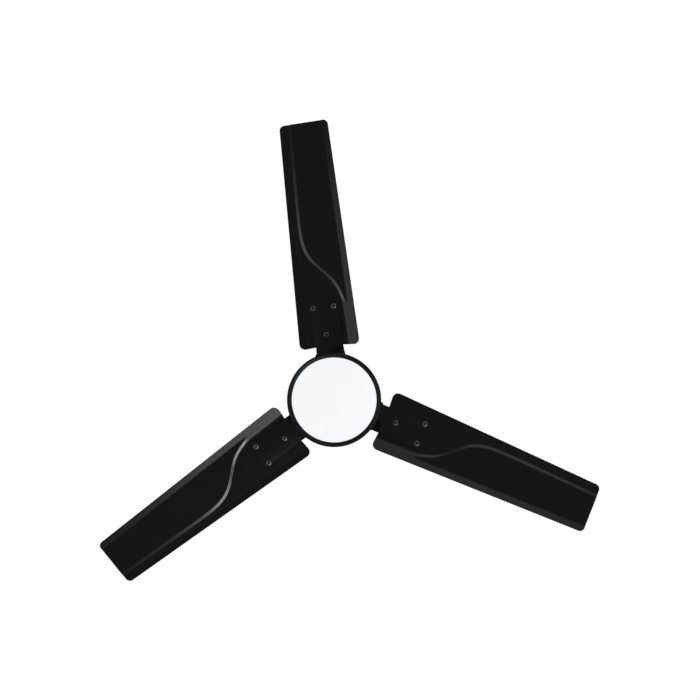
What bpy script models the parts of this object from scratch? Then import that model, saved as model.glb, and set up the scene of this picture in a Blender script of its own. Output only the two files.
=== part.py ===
"""Ceiling fan with three pressed-steel blades and a round light under the motor.

Metres, +Z up. The origin is the middle of the face that meets the ceiling, and the fan
hangs below it. Every height is worked out downwards from that face.
"""
import math

import bmesh
import bpy
from mathutils import Matrix, Vector

MM = 0.001

# ---------------------------------------------------------------- clearances
SEAT_GAP = 0.3 * MM          # between two pieces that touch
SLIDE_GAP = 0.8 * MM         # canopy neck to downrod
TURN_GAP = 1.0 * MM          # rotor to stator, covers to shaft

# ---------------------------------------------------------------- ceiling bracket and hanger
PLATE_LENGTH = 96 * MM
PLATE_WIDTH = 34 * MM
BRACKET_SHEET = 3 * MM
CHEEK_SPACE = 30 * MM
CHEEK_BELOW_PIVOT = 12 * MM
PIVOT_DROP = 34 * MM
ANCHOR_SPACING = 72 * MM
ANCHOR_HOLE_RADIUS = 3.2 * MM
HANGER_BOLT_RADIUS = 4 * MM
HANGER_NUT_HEIGHT = 6.5 * MM
HANGER_HEAD_HEIGHT = 5.5 * MM
HANGER_HEX_RADIUS = 7.5 * MM
HANGER_THREAD_END = 3 * MM
BUSH_WALL = 2.4 * MM

# ---------------------------------------------------------------- downrod and coupler
ROD_RADIUS = 10.5 * MM
ROD_WALL = 2 * MM
ROD_LENGTH = 276 * MM
ROD_ABOVE_PIVOT = 14 * MM
LEAD_HOLE_RADIUS = 6 * MM
LEAD_HOLE_BELOW_PIVOT = 24 * MM
COUPLER_WALL = 4.2 * MM
ROD_SOCKET_DEPTH = 31 * MM
SHAFT_SOCKET_DEPTH = 14 * MM
COUPLER_BOLT_RADIUS = 3 * MM
COUPLER_HEX_RADIUS = 5.6 * MM
COUPLER_HEAD_HEIGHT = 4 * MM
COUPLER_BOLT_UP = 20 * MM     # bolt above the rod's lower end

# ---------------------------------------------------------------- canopies
CANOPY_SHEET = 1.5 * MM
CANOPY_NECK_WALL = 4 * MM
CANOPY_NECK_LENGTH = 12 * MM
UPPER_CANOPY_RADIUS = 62 * MM
UPPER_CANOPY_HEIGHT = 78 * MM
UPPER_CANOPY_DROP = 6 * MM
LOWER_CANOPY_RADIUS = 48 * MM
LOWER_CANOPY_HEIGHT = 50 * MM
LOWER_CANOPY_ABOVE_MOTOR = 4 * MM
GRUB_RADIUS = 1.9 * MM
GRUB_LENGTH = 5.5 * MM

# ---------------------------------------------------------------- motor
SHAFT_RADIUS = 8 * MM
SHAFT_BORE_RADIUS = 5 * MM
MOTOR_BELOW_COUPLER = 5 * MM
MOTOR_RADIUS = 78 * MM
MOTOR_HEIGHT = 70 * MM
MOTOR_EDGE_RADIUS = 9 * MM
COVER_WALL = 3 * MM
SPLIT_BELOW_TOP = 28 * MM     # where the two covers meet
LUG_THICKNESS = 4 * MM
LUG_LENGTH = 20 * MM          # out from the covers' wall
LUG_WIDTH = 64 * MM
BEARING_SECTION = 7.7 * MM    # from bore to outside
BEARING_WIDTH = 9 * MM
BEARING_RACE_WALL = 2.3 * MM
BEARING_BALLS = 8
BEARING_SEAT_WALL = 4 * MM
MAGNET_THICKNESS = 4.5 * MM
MAGNET_HEIGHT = 30 * MM
STATOR_TEETH = 12
STATOR_HUB_RADIUS = 28 * MM
STATOR_HEIGHT = 24 * MM
TOOTH_WIDTH = 7 * MM
TOOTH_TIP_THICKNESS = 4 * MM
TOOTH_SLOT_ANGLE = math.radians(3)
WINDING_TO_HUB = 3 * MM
WINDING_OVERHANG = 6 * MM
BOARD_TO_BEARING_SEAT = 5 * MM
BOARD_WIDTH = 35 * MM
BOARD_THICKNESS = 1.6 * MM
CHIP_SIZE = 9 * MM
CHIP_HEIGHT = 2.5 * MM
CHIP_COUNT = 6

# ---------------------------------------------------------------- blades and their brackets
BLADE_COUNT = 3
FIRST_BLADE_ANGLE = math.radians(-90)
BLADE_PITCH = math.radians(9)
BLADE_SHEET = 1.2 * MM
BLADE_BEYOND_LUG = 12 * MM
BLADE_ROOT_HOLLOW = 5 * MM    # how far the middle of the root edge is set back
BLADE_LENGTH = 484 * MM
ROOT_LEAD_WIDTH = 65 * MM      # from the blade's line to its leading edge
TIP_LEAD_WIDTH = 53 * MM
ROOT_TRAIL_WIDTH = 66.8 * MM   # from the blade's line to its trailing edge
TIP_TRAIL_WIDTH = 53.5 * MM
ROOT_CORNER_RADIUS = 14 * MM
TIP_CORNER_RADIUS = 10.5 * MM
LEAD_STRIP_ROOT_WIDTH = 13.6 * MM
LEAD_STRIP_TIP_WIDTH = 8.8 * MM
LEAD_STRIP_DROP = 2 * MM
TRAIL_STRIP_ROOT_WIDTH = 26 * MM
TRAIL_STRIP_WIDTH = 15.2 * MM   # where the rib has left the strip
TRAIL_STRIP_DROP = 5.8 * MM
RIB_DROP = 2.4 * MM
RIB_WIDTH = 6.6 * MM
CREASE_SPACE = 0.8 * MM        # least distance between two creases
RIB_FROM_LEADING_EDGE = 22.6 * MM
RIB_CROSSING = 167 * MM       # from the root to the middle of the rib's sweep
RIB_SWEEP = 42 * MM
RIB_START = 0.025               # share of the sweep's curve where the rib leaves the strip
RIB_PARTING = 0.04              # share of the sweep within which the rib narrows to its width
ARM_SHEET = 3 * MM
ARM_WIDTH = 60 * MM
ARM_OFFSET = 1 * MM
ARM_START_GAP = 3 * MM        # from the covers' wall
ARM_UNDER_BLADE = 101 * MM
ARM_CORNER_RADIUS = 8 * MM
ARM_SCREW_OUT = 11 * MM       # from the covers' wall
ARM_SCREW_SPACING = 38 * MM
ARM_SCREW_RADIUS = 2.4 * MM
ARM_SCREW_HEAD_RADIUS = 4.6 * MM
ARM_SCREW_HEAD_HEIGHT = 3 * MM
BLADE_SCREW_INNER = 28 * MM    # from the root
BLADE_SCREW_OUTER = 87 * MM
BLADE_SCREW_SPACING = 45 * MM
BLADE_SCREW_OFFSET = -3 * MM   # towards the leading edge
BLADE_SCREW_RADIUS = 2.5 * MM
BLADE_SCREW_HEAD_RADIUS = 6 * MM
BLADE_SCREW_HEAD_HEIGHT = 2.8 * MM
BLADE_SCREW_RECESS_RADIUS = 2.4 * MM
BLADE_SCREW_RECESS_DEPTH = 1.6 * MM
BLADE_SCREW_STICKS_OUT = 3 * MM

# ---------------------------------------------------------------- light
LIGHT_BELOW_MOTOR = 8 * MM
PAN_RADIUS = 92 * MM
PAN_TOP_INSET = 20 * MM
PAN_SHOULDER = 14 * MM
PAN_HEIGHT = 40 * MM
PAN_WALL = 2 * MM
PAN_NUT_HEIGHT = 5 * MM
PAN_NUT_WALL = 4.7 * MM
SHAFT_BELOW_NUT = 2 * MM
CARRIER_ABOVE_RIM = 12 * MM
CARRIER_THICKNESS = 2 * MM
LED_BOARD_MARGIN = 5.7 * MM    # inside the carrier
LED_BOARD_THICKNESS = 1.6 * MM
DRIVER_LENGTH = 50 * MM
DRIVER_WIDTH = 30 * MM
DRIVER_HEIGHT = 12 * MM
DRIVER_MARGIN = 10 * MM        # from the driver's outer corners to the carrier's edge
BEZEL_FLANGE = 3.6 * MM        # out from the skirt
BEZEL_LIP = 9.7 * MM           # width of the ring's face
BEZEL_FACE_THICKNESS = 4 * MM
BEZEL_GROOVE_DEPTH = 1.5 * MM
BEZEL_BAND_WIDTH = 4.2 * MM
BEZEL_SKIRT_WALL = 1.7 * MM
BEZEL_SKIRT_HEIGHT = 12 * MM
BEZEL_SCREW_COUNT = 3
BEZEL_SCREW_RADIUS = 1.4 * MM
BEZEL_SCREW_HEAD_RADIUS = 2.6 * MM
BEZEL_SCREW_HEAD_HEIGHT = 1.3 * MM
DIFFUSER_THICKNESS = 2 * MM
DIFFUSER_DOME = 2 * MM

# ---------------------------------------------------------------- inner lead
LEAD_RADIUS = 1.8 * MM
LEAD_SPACING = 9 * MM
CONNECTOR_LENGTH = 24 * MM
CONNECTOR_WIDTH = 12 * MM
CONNECTOR_HEIGHT = 14 * MM
CONNECTOR_OUT = 24 * MM       # from the fan's axis to the connector's near side

# ---------------------------------------------------------------- heights, from the ceiling down
PIVOT_Z = -PIVOT_DROP
ROD_TOP_Z = PIVOT_Z + ROD_ABOVE_PIVOT
ROD_BOTTOM_Z = ROD_TOP_Z - ROD_LENGTH
LEAD_HOLE_Z = PIVOT_Z - LEAD_HOLE_BELOW_PIVOT
COUPLER_TOP_Z = ROD_BOTTOM_Z + ROD_SOCKET_DEPTH
COUPLER_BOLT_Z = ROD_BOTTOM_Z + COUPLER_BOLT_UP
COUPLER_STEP_Z = ROD_BOTTOM_Z - SEAT_GAP
SHAFT_TOP_Z = COUPLER_STEP_Z - SEAT_GAP
COUPLER_BOTTOM_Z = SHAFT_TOP_Z - SHAFT_SOCKET_DEPTH
MOTOR_TOP_Z = COUPLER_BOTTOM_Z - MOTOR_BELOW_COUPLER
MOTOR_BOTTOM_Z = MOTOR_TOP_Z - MOTOR_HEIGHT
SPLIT_Z = MOTOR_TOP_Z - SPLIT_BELOW_TOP
LOWER_LUG_TOP_Z = SPLIT_Z - SEAT_GAP
LOWER_LUG_BOTTOM_Z = LOWER_LUG_TOP_Z - LUG_THICKNESS
ARM_Z = LOWER_LUG_BOTTOM_Z - SEAT_GAP - ARM_SHEET / 2
MOTOR_MIDDLE_Z = (MOTOR_TOP_Z + MOTOR_BOTTOM_Z) / 2
PAN_TOP_Z = MOTOR_BOTTOM_Z - LIGHT_BELOW_MOTOR
PAN_RIM_Z = PAN_TOP_Z - PAN_HEIGHT
CARRIER_TOP_Z = PAN_RIM_Z + CARRIER_ABOVE_RIM
CARRIER_BOTTOM_Z = CARRIER_TOP_Z - CARRIER_THICKNESS
DIFFUSER_TOP_Z = PAN_RIM_Z - SEAT_GAP
DIFFUSER_LIP_Z = DIFFUSER_TOP_Z - DIFFUSER_THICKNESS
BEZEL_FACE_TOP_Z = DIFFUSER_LIP_Z - SEAT_GAP
BEZEL_BOTTOM_Z = BEZEL_FACE_TOP_Z - BEZEL_FACE_THICKNESS
UPPER_RIM_Z = -UPPER_CANOPY_DROP
LOWER_RIM_Z = MOTOR_TOP_Z + LOWER_CANOPY_ABOVE_MOTOR

# ---------------------------------------------------------------- radii and places that follow
BEARING_RADIUS = SHAFT_RADIUS + SEAT_GAP + BEARING_SECTION
BEARING_SEAT_RADIUS = BEARING_RADIUS + SEAT_GAP
BOARD_INNER_RADIUS = BEARING_SEAT_RADIUS + BEARING_SEAT_WALL + BOARD_TO_BEARING_SEAT
BOARD_OUTER_RADIUS = BOARD_INNER_RADIUS + BOARD_WIDTH
LUG_REACH = MOTOR_RADIUS + LUG_LENGTH
ARM_START = MOTOR_RADIUS + ARM_START_GAP
ARM_SCREW_REACH = MOTOR_RADIUS + ARM_SCREW_OUT
BLADE_ROOT = LUG_REACH + BLADE_BEYOND_LUG
BLADE_TIP = BLADE_ROOT + BLADE_LENGTH
ARM_TWIST_START = LUG_REACH + TURN_GAP
ARM_TWIST_END = BLADE_ROOT + BLADE_ROOT_HOLLOW / 2 - TURN_GAP
ARM_END = BLADE_ROOT + ARM_UNDER_BLADE
RIB_MIDDLE = BLADE_ROOT + RIB_CROSSING
RIB_BEGINS = RIB_MIDDLE + RIB_SWEEP * math.atanh(2 * RIB_START - 1)
JOINED_WIDTH = TRAIL_STRIP_ROOT_WIDTH - TRAIL_STRIP_WIDTH - CREASE_SPACE
JOINED_DROP = TRAIL_STRIP_DROP * JOINED_WIDTH / TRAIL_STRIP_ROOT_WIDTH
BLADE_SCREW_PLACES = ((BLADE_ROOT + BLADE_SCREW_INNER, BLADE_SCREW_OFFSET),
                      (BLADE_ROOT + BLADE_SCREW_OUTER, BLADE_SCREW_OFFSET - BLADE_SCREW_SPACING / 2),
                      (BLADE_ROOT + BLADE_SCREW_OUTER, BLADE_SCREW_OFFSET + BLADE_SCREW_SPACING / 2))
CARRIER_RADIUS = PAN_RADIUS - PAN_WALL - SEAT_GAP
SKIRT_RADIUS = PAN_RADIUS + SEAT_GAP + BEZEL_SKIRT_WALL
BEZEL_RADIUS = SKIRT_RADIUS + BEZEL_FLANGE
BEZEL_WINDOW_RADIUS = BEZEL_RADIUS - BEZEL_LIP
DRIVER_END = math.sqrt(CARRIER_RADIUS ** 2 - (DRIVER_WIDTH / 2) ** 2) - DRIVER_MARGIN
DRIVER_START = DRIVER_END - DRIVER_LENGTH

ROUND_SEGMENTS = 36
SMALL_SEGMENTS = 24
SCREW_SEGMENTS = 12
SHARP_ANGLE = math.radians(35)

BLACK_PAINT = ((0.012, 0.012, 0.013), 0.32, 0.0)
BLACK_PLASTIC = ((0.016, 0.016, 0.018), 0.40, 0.0)
ZINC = ((0.55, 0.55, 0.56), 0.35, 1.0)
ALUMINIUM = ((0.62, 0.62, 0.64), 0.40, 1.0)
STEEL = ((0.42, 0.42, 0.44), 0.30, 1.0)
RUBBER = ((0.02, 0.02, 0.02), 0.80, 0.0)
LAMINATION = ((0.20, 0.20, 0.22), 0.50, 1.0)
COPPER = ((0.60, 0.24, 0.10), 0.35, 1.0)
MAGNET = ((0.06, 0.06, 0.07), 0.60, 0.3)
GREEN_BOARD = ((0.02, 0.16, 0.06), 0.45, 0.0)
WHITE_BOARD = ((0.80, 0.80, 0.80), 0.50, 0.0)
WHITE_PLASTIC = ((0.75, 0.75, 0.73), 0.45, 0.0)
OPAL = ((0.90, 0.90, 0.92), 0.40, 0.0)


# ---------------------------------------------------------------- mesh tools
def mesh_from(bm, matrix=None):
    """Close a bmesh into mesh data, with its faces turned outwards."""
    bmesh.ops.recalc_face_normals(bm, faces=bm.faces)
    if matrix is not None:
        bm.transform(matrix)
    mesh = bpy.data.meshes.new("piece")
    bm.to_mesh(mesh)
    bm.free()
    return mesh


def turned(profile, segments=ROUND_SEGMENTS, hexed=(), matrix=None):
    """Turn a closed profile of (radius, height) corners about Z; hexed corners get six flats."""
    bm = bmesh.new()
    rings = []
    for number, (radius, height) in enumerate(profile):
        if radius == 0:
            rings.append([bm.verts.new((0, 0, height))])
            continue
        ring = []
        for step in range(segments):
            turn = 2 * math.pi * step / segments
            reach = radius
            if number in hexed:
                reach *= math.cos(math.pi / 6) / math.cos(turn % (math.pi / 3) - math.pi / 6)
            ring.append(bm.verts.new((reach * math.cos(turn), reach * math.sin(turn), height)))
        rings.append(ring)
    for ring, following in zip(rings, rings[1:] + rings[:1]):
        for step in range(segments):
            corners = [ring[step % len(ring)], ring[(step + 1) % segments % len(ring)],
                       following[(step + 1) % segments % len(following)],
                       following[step % len(following)]]
            corners = list(dict.fromkeys(corners))
            if len(corners) > 2:
                bm.faces.new(corners)
    return mesh_from(bm, matrix)


def cylinder(radius, low, high, segments=SMALL_SEGMENTS, matrix=None):
    return turned([(0, low), (radius, low), (radius, high), (0, high)], segments, (), matrix)


def prism(outline, low, high, matrix=None):
    """Extrude an outline of (x, y) corners from one height to another."""
    bm = bmesh.new()
    face = bm.faces.new([bm.verts.new((x, y, low)) for x, y in outline])
    raised = bmesh.ops.extrude_face_region(bm, geom=[face])["geom"]
    lifted = [item for item in raised if isinstance(item, bmesh.types.BMVert)]
    bmesh.ops.translate(bm, verts=lifted, vec=(0, 0, high - low))
    return mesh_from(bm, matrix)


def block(low, high, matrix=None):
    """A box between two corners."""
    outline = [(low[0], low[1]), (high[0], low[1]), (high[0], high[1]), (low[0], high[1])]
    return prism(outline, low[2], high[2], matrix)


def worked(base, joined=(), cut=()):
    """Unite a mesh with others, then take cutters out of it, with exact Booleans."""
    helpers = [bpy.data.objects.new("work", mesh) for mesh in (base, *joined, *cut)]
    for helper in helpers:
        bpy.context.collection.objects.link(helper)
    body = helpers[0]
    for number, helper in enumerate(helpers[1:]):
        boolean = body.modifiers.new("boolean", "BOOLEAN")
        boolean.operation = "UNION" if number < len(joined) else "DIFFERENCE"
        boolean.solver = "EXACT"
        boolean.object = helper
    evaluated = body.evaluated_get(bpy.context.evaluated_depsgraph_get())
    mesh = bpy.data.meshes.new_from_object(evaluated)
    for helper in helpers:
        bpy.data.objects.remove(helper)
    return mesh


def place(name, mesh, finish, parent=None, location=(0, 0, 0), rotation=(0, 0, 0)):
    """Put a mesh in the scene as a named node with its own material."""
    colour, roughness, metallic = finish
    material = bpy.data.materials.new(name)
    material.use_nodes = True
    shader = material.node_tree.nodes["Principled BSDF"]
    shader.inputs["Base Color"].default_value = (*colour, 1)
    shader.inputs["Roughness"].default_value = roughness
    shader.inputs["Metallic"].default_value = metallic
    piece = bpy.data.objects.new(name, mesh)
    if not mesh.materials:
        mesh.materials.append(None)
    piece.material_slots[0].link = "OBJECT"
    piece.material_slots[0].material = material
    mesh.shade_smooth()
    mesh.set_sharp_from_angle(angle=SHARP_ANGLE)
    bpy.context.collection.objects.link(piece)
    attach(piece, parent, location, rotation)
    return piece


def guide(name, parent=None, location=(0, 0, 0), rotation=(0, 0, 0)):
    """An empty that carries other pieces."""
    empty = bpy.data.objects.new(name, None)
    bpy.context.collection.objects.link(empty)
    attach(empty, parent, location, rotation)
    return empty


def attach(item, parent, location, rotation):
    item.parent = parent
    item.location = location
    item.rotation_euler = rotation


def about_x(x=0, y=0, z=0):
    """Matrix that lays a piece turned about Z along X instead."""
    return Matrix.Translation((x, y, z)) @ Matrix.Rotation(math.radians(90), 4, "Y")


def about_y(x=0, y=0, z=0):
    """Matrix that lays a piece turned about Z along Y instead, its top towards +Y."""
    return Matrix.Translation((x, y, z)) @ Matrix.Rotation(math.radians(-90), 4, "X")


def blend(first, second, share):
    return first + (second - first) * share


# ---------------------------------------------------------------- ceiling side
def hanger_reach():
    """Half the length across the two cheeks of the ceiling bracket."""
    return CHEEK_SPACE / 2 + BRACKET_SHEET


def add_ceiling_bracket():
    half_plate = PLATE_LENGTH / 2
    inner = CHEEK_SPACE / 2
    outer = hanger_reach()
    foot = PIVOT_Z - CHEEK_BELOW_PIVOT
    outline = [(-half_plate, 0), (half_plate, 0), (half_plate, -BRACKET_SHEET),
               (outer, -BRACKET_SHEET), (outer, foot), (inner, foot), (inner, -BRACKET_SHEET),
               (-inner, -BRACKET_SHEET), (-inner, foot), (-outer, foot), (-outer, -BRACKET_SHEET),
               (-half_plate, -BRACKET_SHEET)]
    upright = Matrix.Rotation(math.radians(90), 4, "X")
    hat = prism(outline, -PLATE_WIDTH / 2, PLATE_WIDTH / 2, upright)
    bolt_hole = cylinder(HANGER_BOLT_RADIUS + SEAT_GAP, -half_plate, half_plate,
                         matrix=about_x(z=PIVOT_Z))
    anchor_holes = [cylinder(ANCHOR_HOLE_RADIUS, -2 * BRACKET_SHEET, BRACKET_SHEET,
                             matrix=Matrix.Translation((side * ANCHOR_SPACING / 2, 0, 0)))
                    for side in (-1, 1)]
    place("ceiling_bracket", worked(hat, cut=[bolt_hole, *anchor_holes]), ZINC)


def hex_bolt(shank_radius, shank_length, hex_radius, head_height):
    """Bolt turned about Z: the head below z = 0 and the shank above it."""
    profile = [(0, -head_height), (hex_radius, -head_height), (hex_radius, 0),
               (shank_radius, 0), (shank_radius, shank_length), (0, shank_length)]
    return turned(profile, SCREW_SEGMENTS, hexed=(1, 2))


def hex_nut(bore_radius, hex_radius, height, segments=SCREW_SEGMENTS):
    """Nut turned about Z, standing on z = 0."""
    profile = [(bore_radius, 0), (hex_radius, 0), (hex_radius, height), (bore_radius, height)]
    return turned(profile, segments, hexed=(1, 2))


def add_hanger_bolt():
    seat = hanger_reach() + SEAT_GAP
    length = 2 * seat + HANGER_NUT_HEIGHT + HANGER_THREAD_END
    along_x = (0, math.radians(90), 0)
    bolt = hex_bolt(HANGER_BOLT_RADIUS, length, HANGER_HEX_RADIUS, HANGER_HEAD_HEIGHT)
    place("hanger_bolt", bolt, ZINC, None, (-seat, 0, PIVOT_Z), along_x)
    nut = hex_nut(HANGER_BOLT_RADIUS + SEAT_GAP, HANGER_HEX_RADIUS, HANGER_NUT_HEIGHT)
    place("hanger_nut", nut, ZINC, None, (seat, 0, PIVOT_Z), along_x)


# ---------------------------------------------------------------- downrod
def bush_radius():
    return HANGER_BOLT_RADIUS + SEAT_GAP + BUSH_WALL


def add_hanger_bush(swing):
    half = CHEEK_SPACE / 2 - SLIDE_GAP
    bore = HANGER_BOLT_RADIUS + SEAT_GAP
    profile = [(bore, -half), (bush_radius(), -half), (bush_radius(), half), (bore, half)]
    place("hanger_bush", turned(profile, SMALL_SEGMENTS), RUBBER, swing,
          rotation=(0, math.radians(90), 0))


def add_downrod(swing):
    bore = ROD_RADIUS - ROD_WALL
    profile = [(bore, ROD_BOTTOM_Z), (ROD_RADIUS, ROD_BOTTOM_Z), (ROD_RADIUS, ROD_TOP_Z),
               (bore, ROD_TOP_Z)]
    tube = turned(profile, SMALL_SEGMENTS)
    across = 2 * ROD_RADIUS
    bush_hole = cylinder(bush_radius() + SEAT_GAP, -across, across, matrix=about_x(z=PIVOT_Z))
    bolt_hole = cylinder(COUPLER_BOLT_RADIUS + SEAT_GAP, -across, across, SCREW_SEGMENTS,
                         about_x(z=COUPLER_BOLT_Z))
    lead_hole = cylinder(LEAD_HOLE_RADIUS, 0, across, SCREW_SEGMENTS, about_y(z=LEAD_HOLE_Z))
    mesh = worked(tube, cut=[bush_hole, bolt_hole, lead_hole])
    place("downrod", mesh, BLACK_PAINT, swing, (0, 0, -PIVOT_Z))


def add_coupler(swing):
    outer = ROD_RADIUS + SEAT_GAP + COUPLER_WALL
    rod_bore = ROD_RADIUS + SEAT_GAP
    shaft_bore = SHAFT_RADIUS + SEAT_GAP
    profile = [(shaft_bore, COUPLER_BOTTOM_Z), (outer, COUPLER_BOTTOM_Z), (outer, COUPLER_TOP_Z),
               (rod_bore, COUPLER_TOP_Z), (rod_bore, COUPLER_STEP_Z), (shaft_bore, COUPLER_STEP_Z)]
    hole = cylinder(COUPLER_BOLT_RADIUS + SEAT_GAP, -2 * outer, 2 * outer, SCREW_SEGMENTS,
                    about_x(z=COUPLER_BOLT_Z))
    mesh = worked(turned(profile, SMALL_SEGMENTS), cut=[hole])
    place("coupler", mesh, ZINC, swing, (0, 0, -PIVOT_Z))
    seat = outer + SEAT_GAP
    length = 2 * seat + 2 * COUPLER_HEAD_HEIGHT
    along_x = (0, math.radians(90), 0)
    height = COUPLER_BOLT_Z - PIVOT_Z
    bolt = hex_bolt(COUPLER_BOLT_RADIUS, length, COUPLER_HEX_RADIUS, COUPLER_HEAD_HEIGHT)
    place("coupler_bolt", bolt, ZINC, swing, (-seat, 0, height), along_x)
    nut = hex_nut(COUPLER_BOLT_RADIUS + SEAT_GAP, COUPLER_HEX_RADIUS, COUPLER_HEAD_HEIGHT)
    place("coupler_nut", nut, ZINC, swing, (seat, 0, height), along_x)


# ---------------------------------------------------------------- canopies
def bell_profile(rim_radius, height):
    """Bell with its open rim at z = height and a neck round the rod below z = 0."""
    bore = ROD_RADIUS + SLIDE_GAP
    neck = bore + CANOPY_NECK_WALL
    steps = 5
    outer = []
    inner = []
    for step in range(1, steps + 1):
        turn = math.radians(90) * step / steps
        outer.append((blend(neck, rim_radius, math.sin(turn)), height * (1 - math.cos(turn))))
        inner.append((blend(neck, rim_radius - CANOPY_SHEET, math.sin(turn)),
                      blend(height, CANOPY_SHEET, math.cos(turn))))
    return [(bore, -CANOPY_NECK_LENGTH), (neck, -CANOPY_NECK_LENGTH), (neck, 0), *outer,
            *reversed(inner), (bore, CANOPY_SHEET)]


def add_canopy(name, swing, rim_radius, height, rim_z, opens_up):
    """A canopy that slides on the rod, with the grub screw that holds its neck."""
    direction = 1 if opens_up else -1
    bore = ROD_RADIUS + SLIDE_GAP
    grub_height = -CANOPY_NECK_LENGTH / 2
    bell = turned(bell_profile(rim_radius, height))
    hole = cylinder(GRUB_RADIUS + SEAT_GAP, 0, 2 * bore, SCREW_SEGMENTS, about_y(z=grub_height))
    carrier = guide(name + "_slide", swing, (0, 0, rim_z - direction * height - PIVOT_Z),
                    (0 if opens_up else math.pi, 0, 0))
    place(name, worked(bell, cut=[hole]), BLACK_PAINT, carrier)
    start = ROD_RADIUS + SEAT_GAP
    grub = cylinder(GRUB_RADIUS, 0, GRUB_LENGTH, SCREW_SEGMENTS)
    place(name + "_screw", grub, ZINC, carrier, (0, start, grub_height), (math.radians(-90), 0, 0))


# ---------------------------------------------------------------- motor, standing side
def magnet_radius():
    """Inner radius of the magnet ring."""
    return MOTOR_RADIUS - COVER_WALL - SEAT_GAP - MAGNET_THICKNESS


def pan_nut_bottom():
    return PAN_TOP_Z - PAN_WALL - SEAT_GAP - PAN_NUT_HEIGHT


def add_shaft(swing):
    bottom = pan_nut_bottom() - SHAFT_BELOW_NUT
    profile = [(SHAFT_BORE_RADIUS, bottom), (SHAFT_RADIUS, bottom), (SHAFT_RADIUS, SHAFT_TOP_Z),
               (SHAFT_BORE_RADIUS, SHAFT_TOP_Z)]
    place("motor_shaft", turned(profile, SMALL_SEGMENTS), STEEL, swing, (0, 0, -PIVOT_Z))


def stator_solid(growth):
    """The laminated star of the stator; growth widens it on every side, for use as a cutter."""
    hub = STATOR_HUB_RADIUS + growth
    tip = magnet_radius() - TURN_GAP + growth
    shoe = magnet_radius() - TURN_GAP - TOOTH_TIP_THICKNESS - growth
    half_tooth = TOOTH_WIDTH / 2 + growth
    tooth_angle = 2 * math.pi / STATOR_TEETH
    half_shoe = (tooth_angle - TOOTH_SLOT_ANGLE) / 2 + growth / tip
    outline = []
    for tooth in range(STATOR_TEETH):
        middle = tooth * tooth_angle
        points = [(hub, -math.asin(half_tooth / hub)), (shoe, -math.asin(half_tooth / shoe)),
                  (shoe, -half_shoe), (tip, -half_shoe), (tip, -half_shoe / 3), (tip, half_shoe / 3),
                  (tip, half_shoe), (shoe, half_shoe), (shoe, math.asin(half_tooth / shoe)),
                  (hub, math.asin(half_tooth / hub))]
        for radius, turn in points:
            outline.append((radius * math.cos(middle + turn), radius * math.sin(middle + turn)))
    half_height = STATOR_HEIGHT / 2 + growth
    return prism(outline, -half_height, half_height)


def add_stator(swing):
    height = MOTOR_MIDDLE_Z - PIVOT_Z
    bore = cylinder(SHAFT_RADIUS + SEAT_GAP, -STATOR_HEIGHT, STATOR_HEIGHT)
    place("stator_core", worked(stator_solid(0), cut=[bore]), LAMINATION, swing, (0, 0, height))
    outer = magnet_radius() - TURN_GAP - TOOTH_TIP_THICKNESS - SEAT_GAP
    reach = STATOR_HEIGHT / 2 + WINDING_OVERHANG
    winding_inner = STATOR_HUB_RADIUS + WINDING_TO_HUB
    ring = turned([(winding_inner, -reach), (outer, -reach), (outer, reach),
                   (winding_inner, reach)])
    winding = worked(ring, cut=[stator_solid(SEAT_GAP)])
    place("stator_winding", winding, COPPER, swing, (0, 0, height))


def add_controller_board(swing):
    top = -STATOR_HEIGHT / 2 - WINDING_OVERHANG - SEAT_GAP
    bottom = top - BOARD_THICKNESS
    ring = turned([(BOARD_INNER_RADIUS, bottom), (BOARD_OUTER_RADIUS, bottom),
                   (BOARD_OUTER_RADIUS, top), (BOARD_INNER_RADIUS, top)])
    reach = (BOARD_INNER_RADIUS + BOARD_OUTER_RADIUS) / 2
    chips = []
    for chip in range(CHIP_COUNT):
        turn = Matrix.Rotation(2 * math.pi * chip / CHIP_COUNT, 4, "Z")
        low = (reach - CHIP_SIZE / 2, -CHIP_SIZE / 2, bottom - CHIP_HEIGHT)
        high = (reach + CHIP_SIZE / 2, CHIP_SIZE / 2, top - BOARD_THICKNESS / 2)
        chips.append(block(low, high, turn))
    place("controller_board", worked(ring, joined=chips), GREEN_BOARD, swing,
          (0, 0, MOTOR_MIDDLE_Z - PIVOT_Z))


# ---------------------------------------------------------------- bearings
def bearing_heights():
    """Middle heights of the upper and lower bearings."""
    inset = COVER_WALL + SEAT_GAP + BEARING_WIDTH / 2
    return {"upper": MOTOR_TOP_Z - inset, "lower": MOTOR_BOTTOM_Z + inset}


def race(inner, outer):
    half = BEARING_WIDTH / 2
    return turned([(inner, -half), (outer, -half), (outer, half), (inner, half)], SMALL_SEGMENTS)


def ball_row(inner, outer):
    """The balls with their cage: one ring that swells at each ball."""
    middle = (inner + outer) / 2
    ball = (outer - inner) / 2 - SEAT_GAP
    around = 6
    per_ball = 4
    swell = (1, 0.8, 0.4, 0.8)
    bm = bmesh.new()
    rings = []
    for step in range(BEARING_BALLS * per_ball):
        turn = 2 * math.pi * step / (BEARING_BALLS * per_ball)
        radius = ball * swell[step % per_ball]
        ring = []
        for corner in range(around):
            angle = 2 * math.pi * corner / around
            reach = middle + radius * math.cos(angle)
            ring.append(bm.verts.new((reach * math.cos(turn), reach * math.sin(turn),
                                      radius * math.sin(angle))))
        rings.append(ring)
    for ring, following in zip(rings, rings[1:] + rings[:1]):
        for corner in range(around):
            after = (corner + 1) % around
            bm.faces.new((ring[corner], ring[after], following[after], following[corner]))
    return mesh_from(bm)


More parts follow.
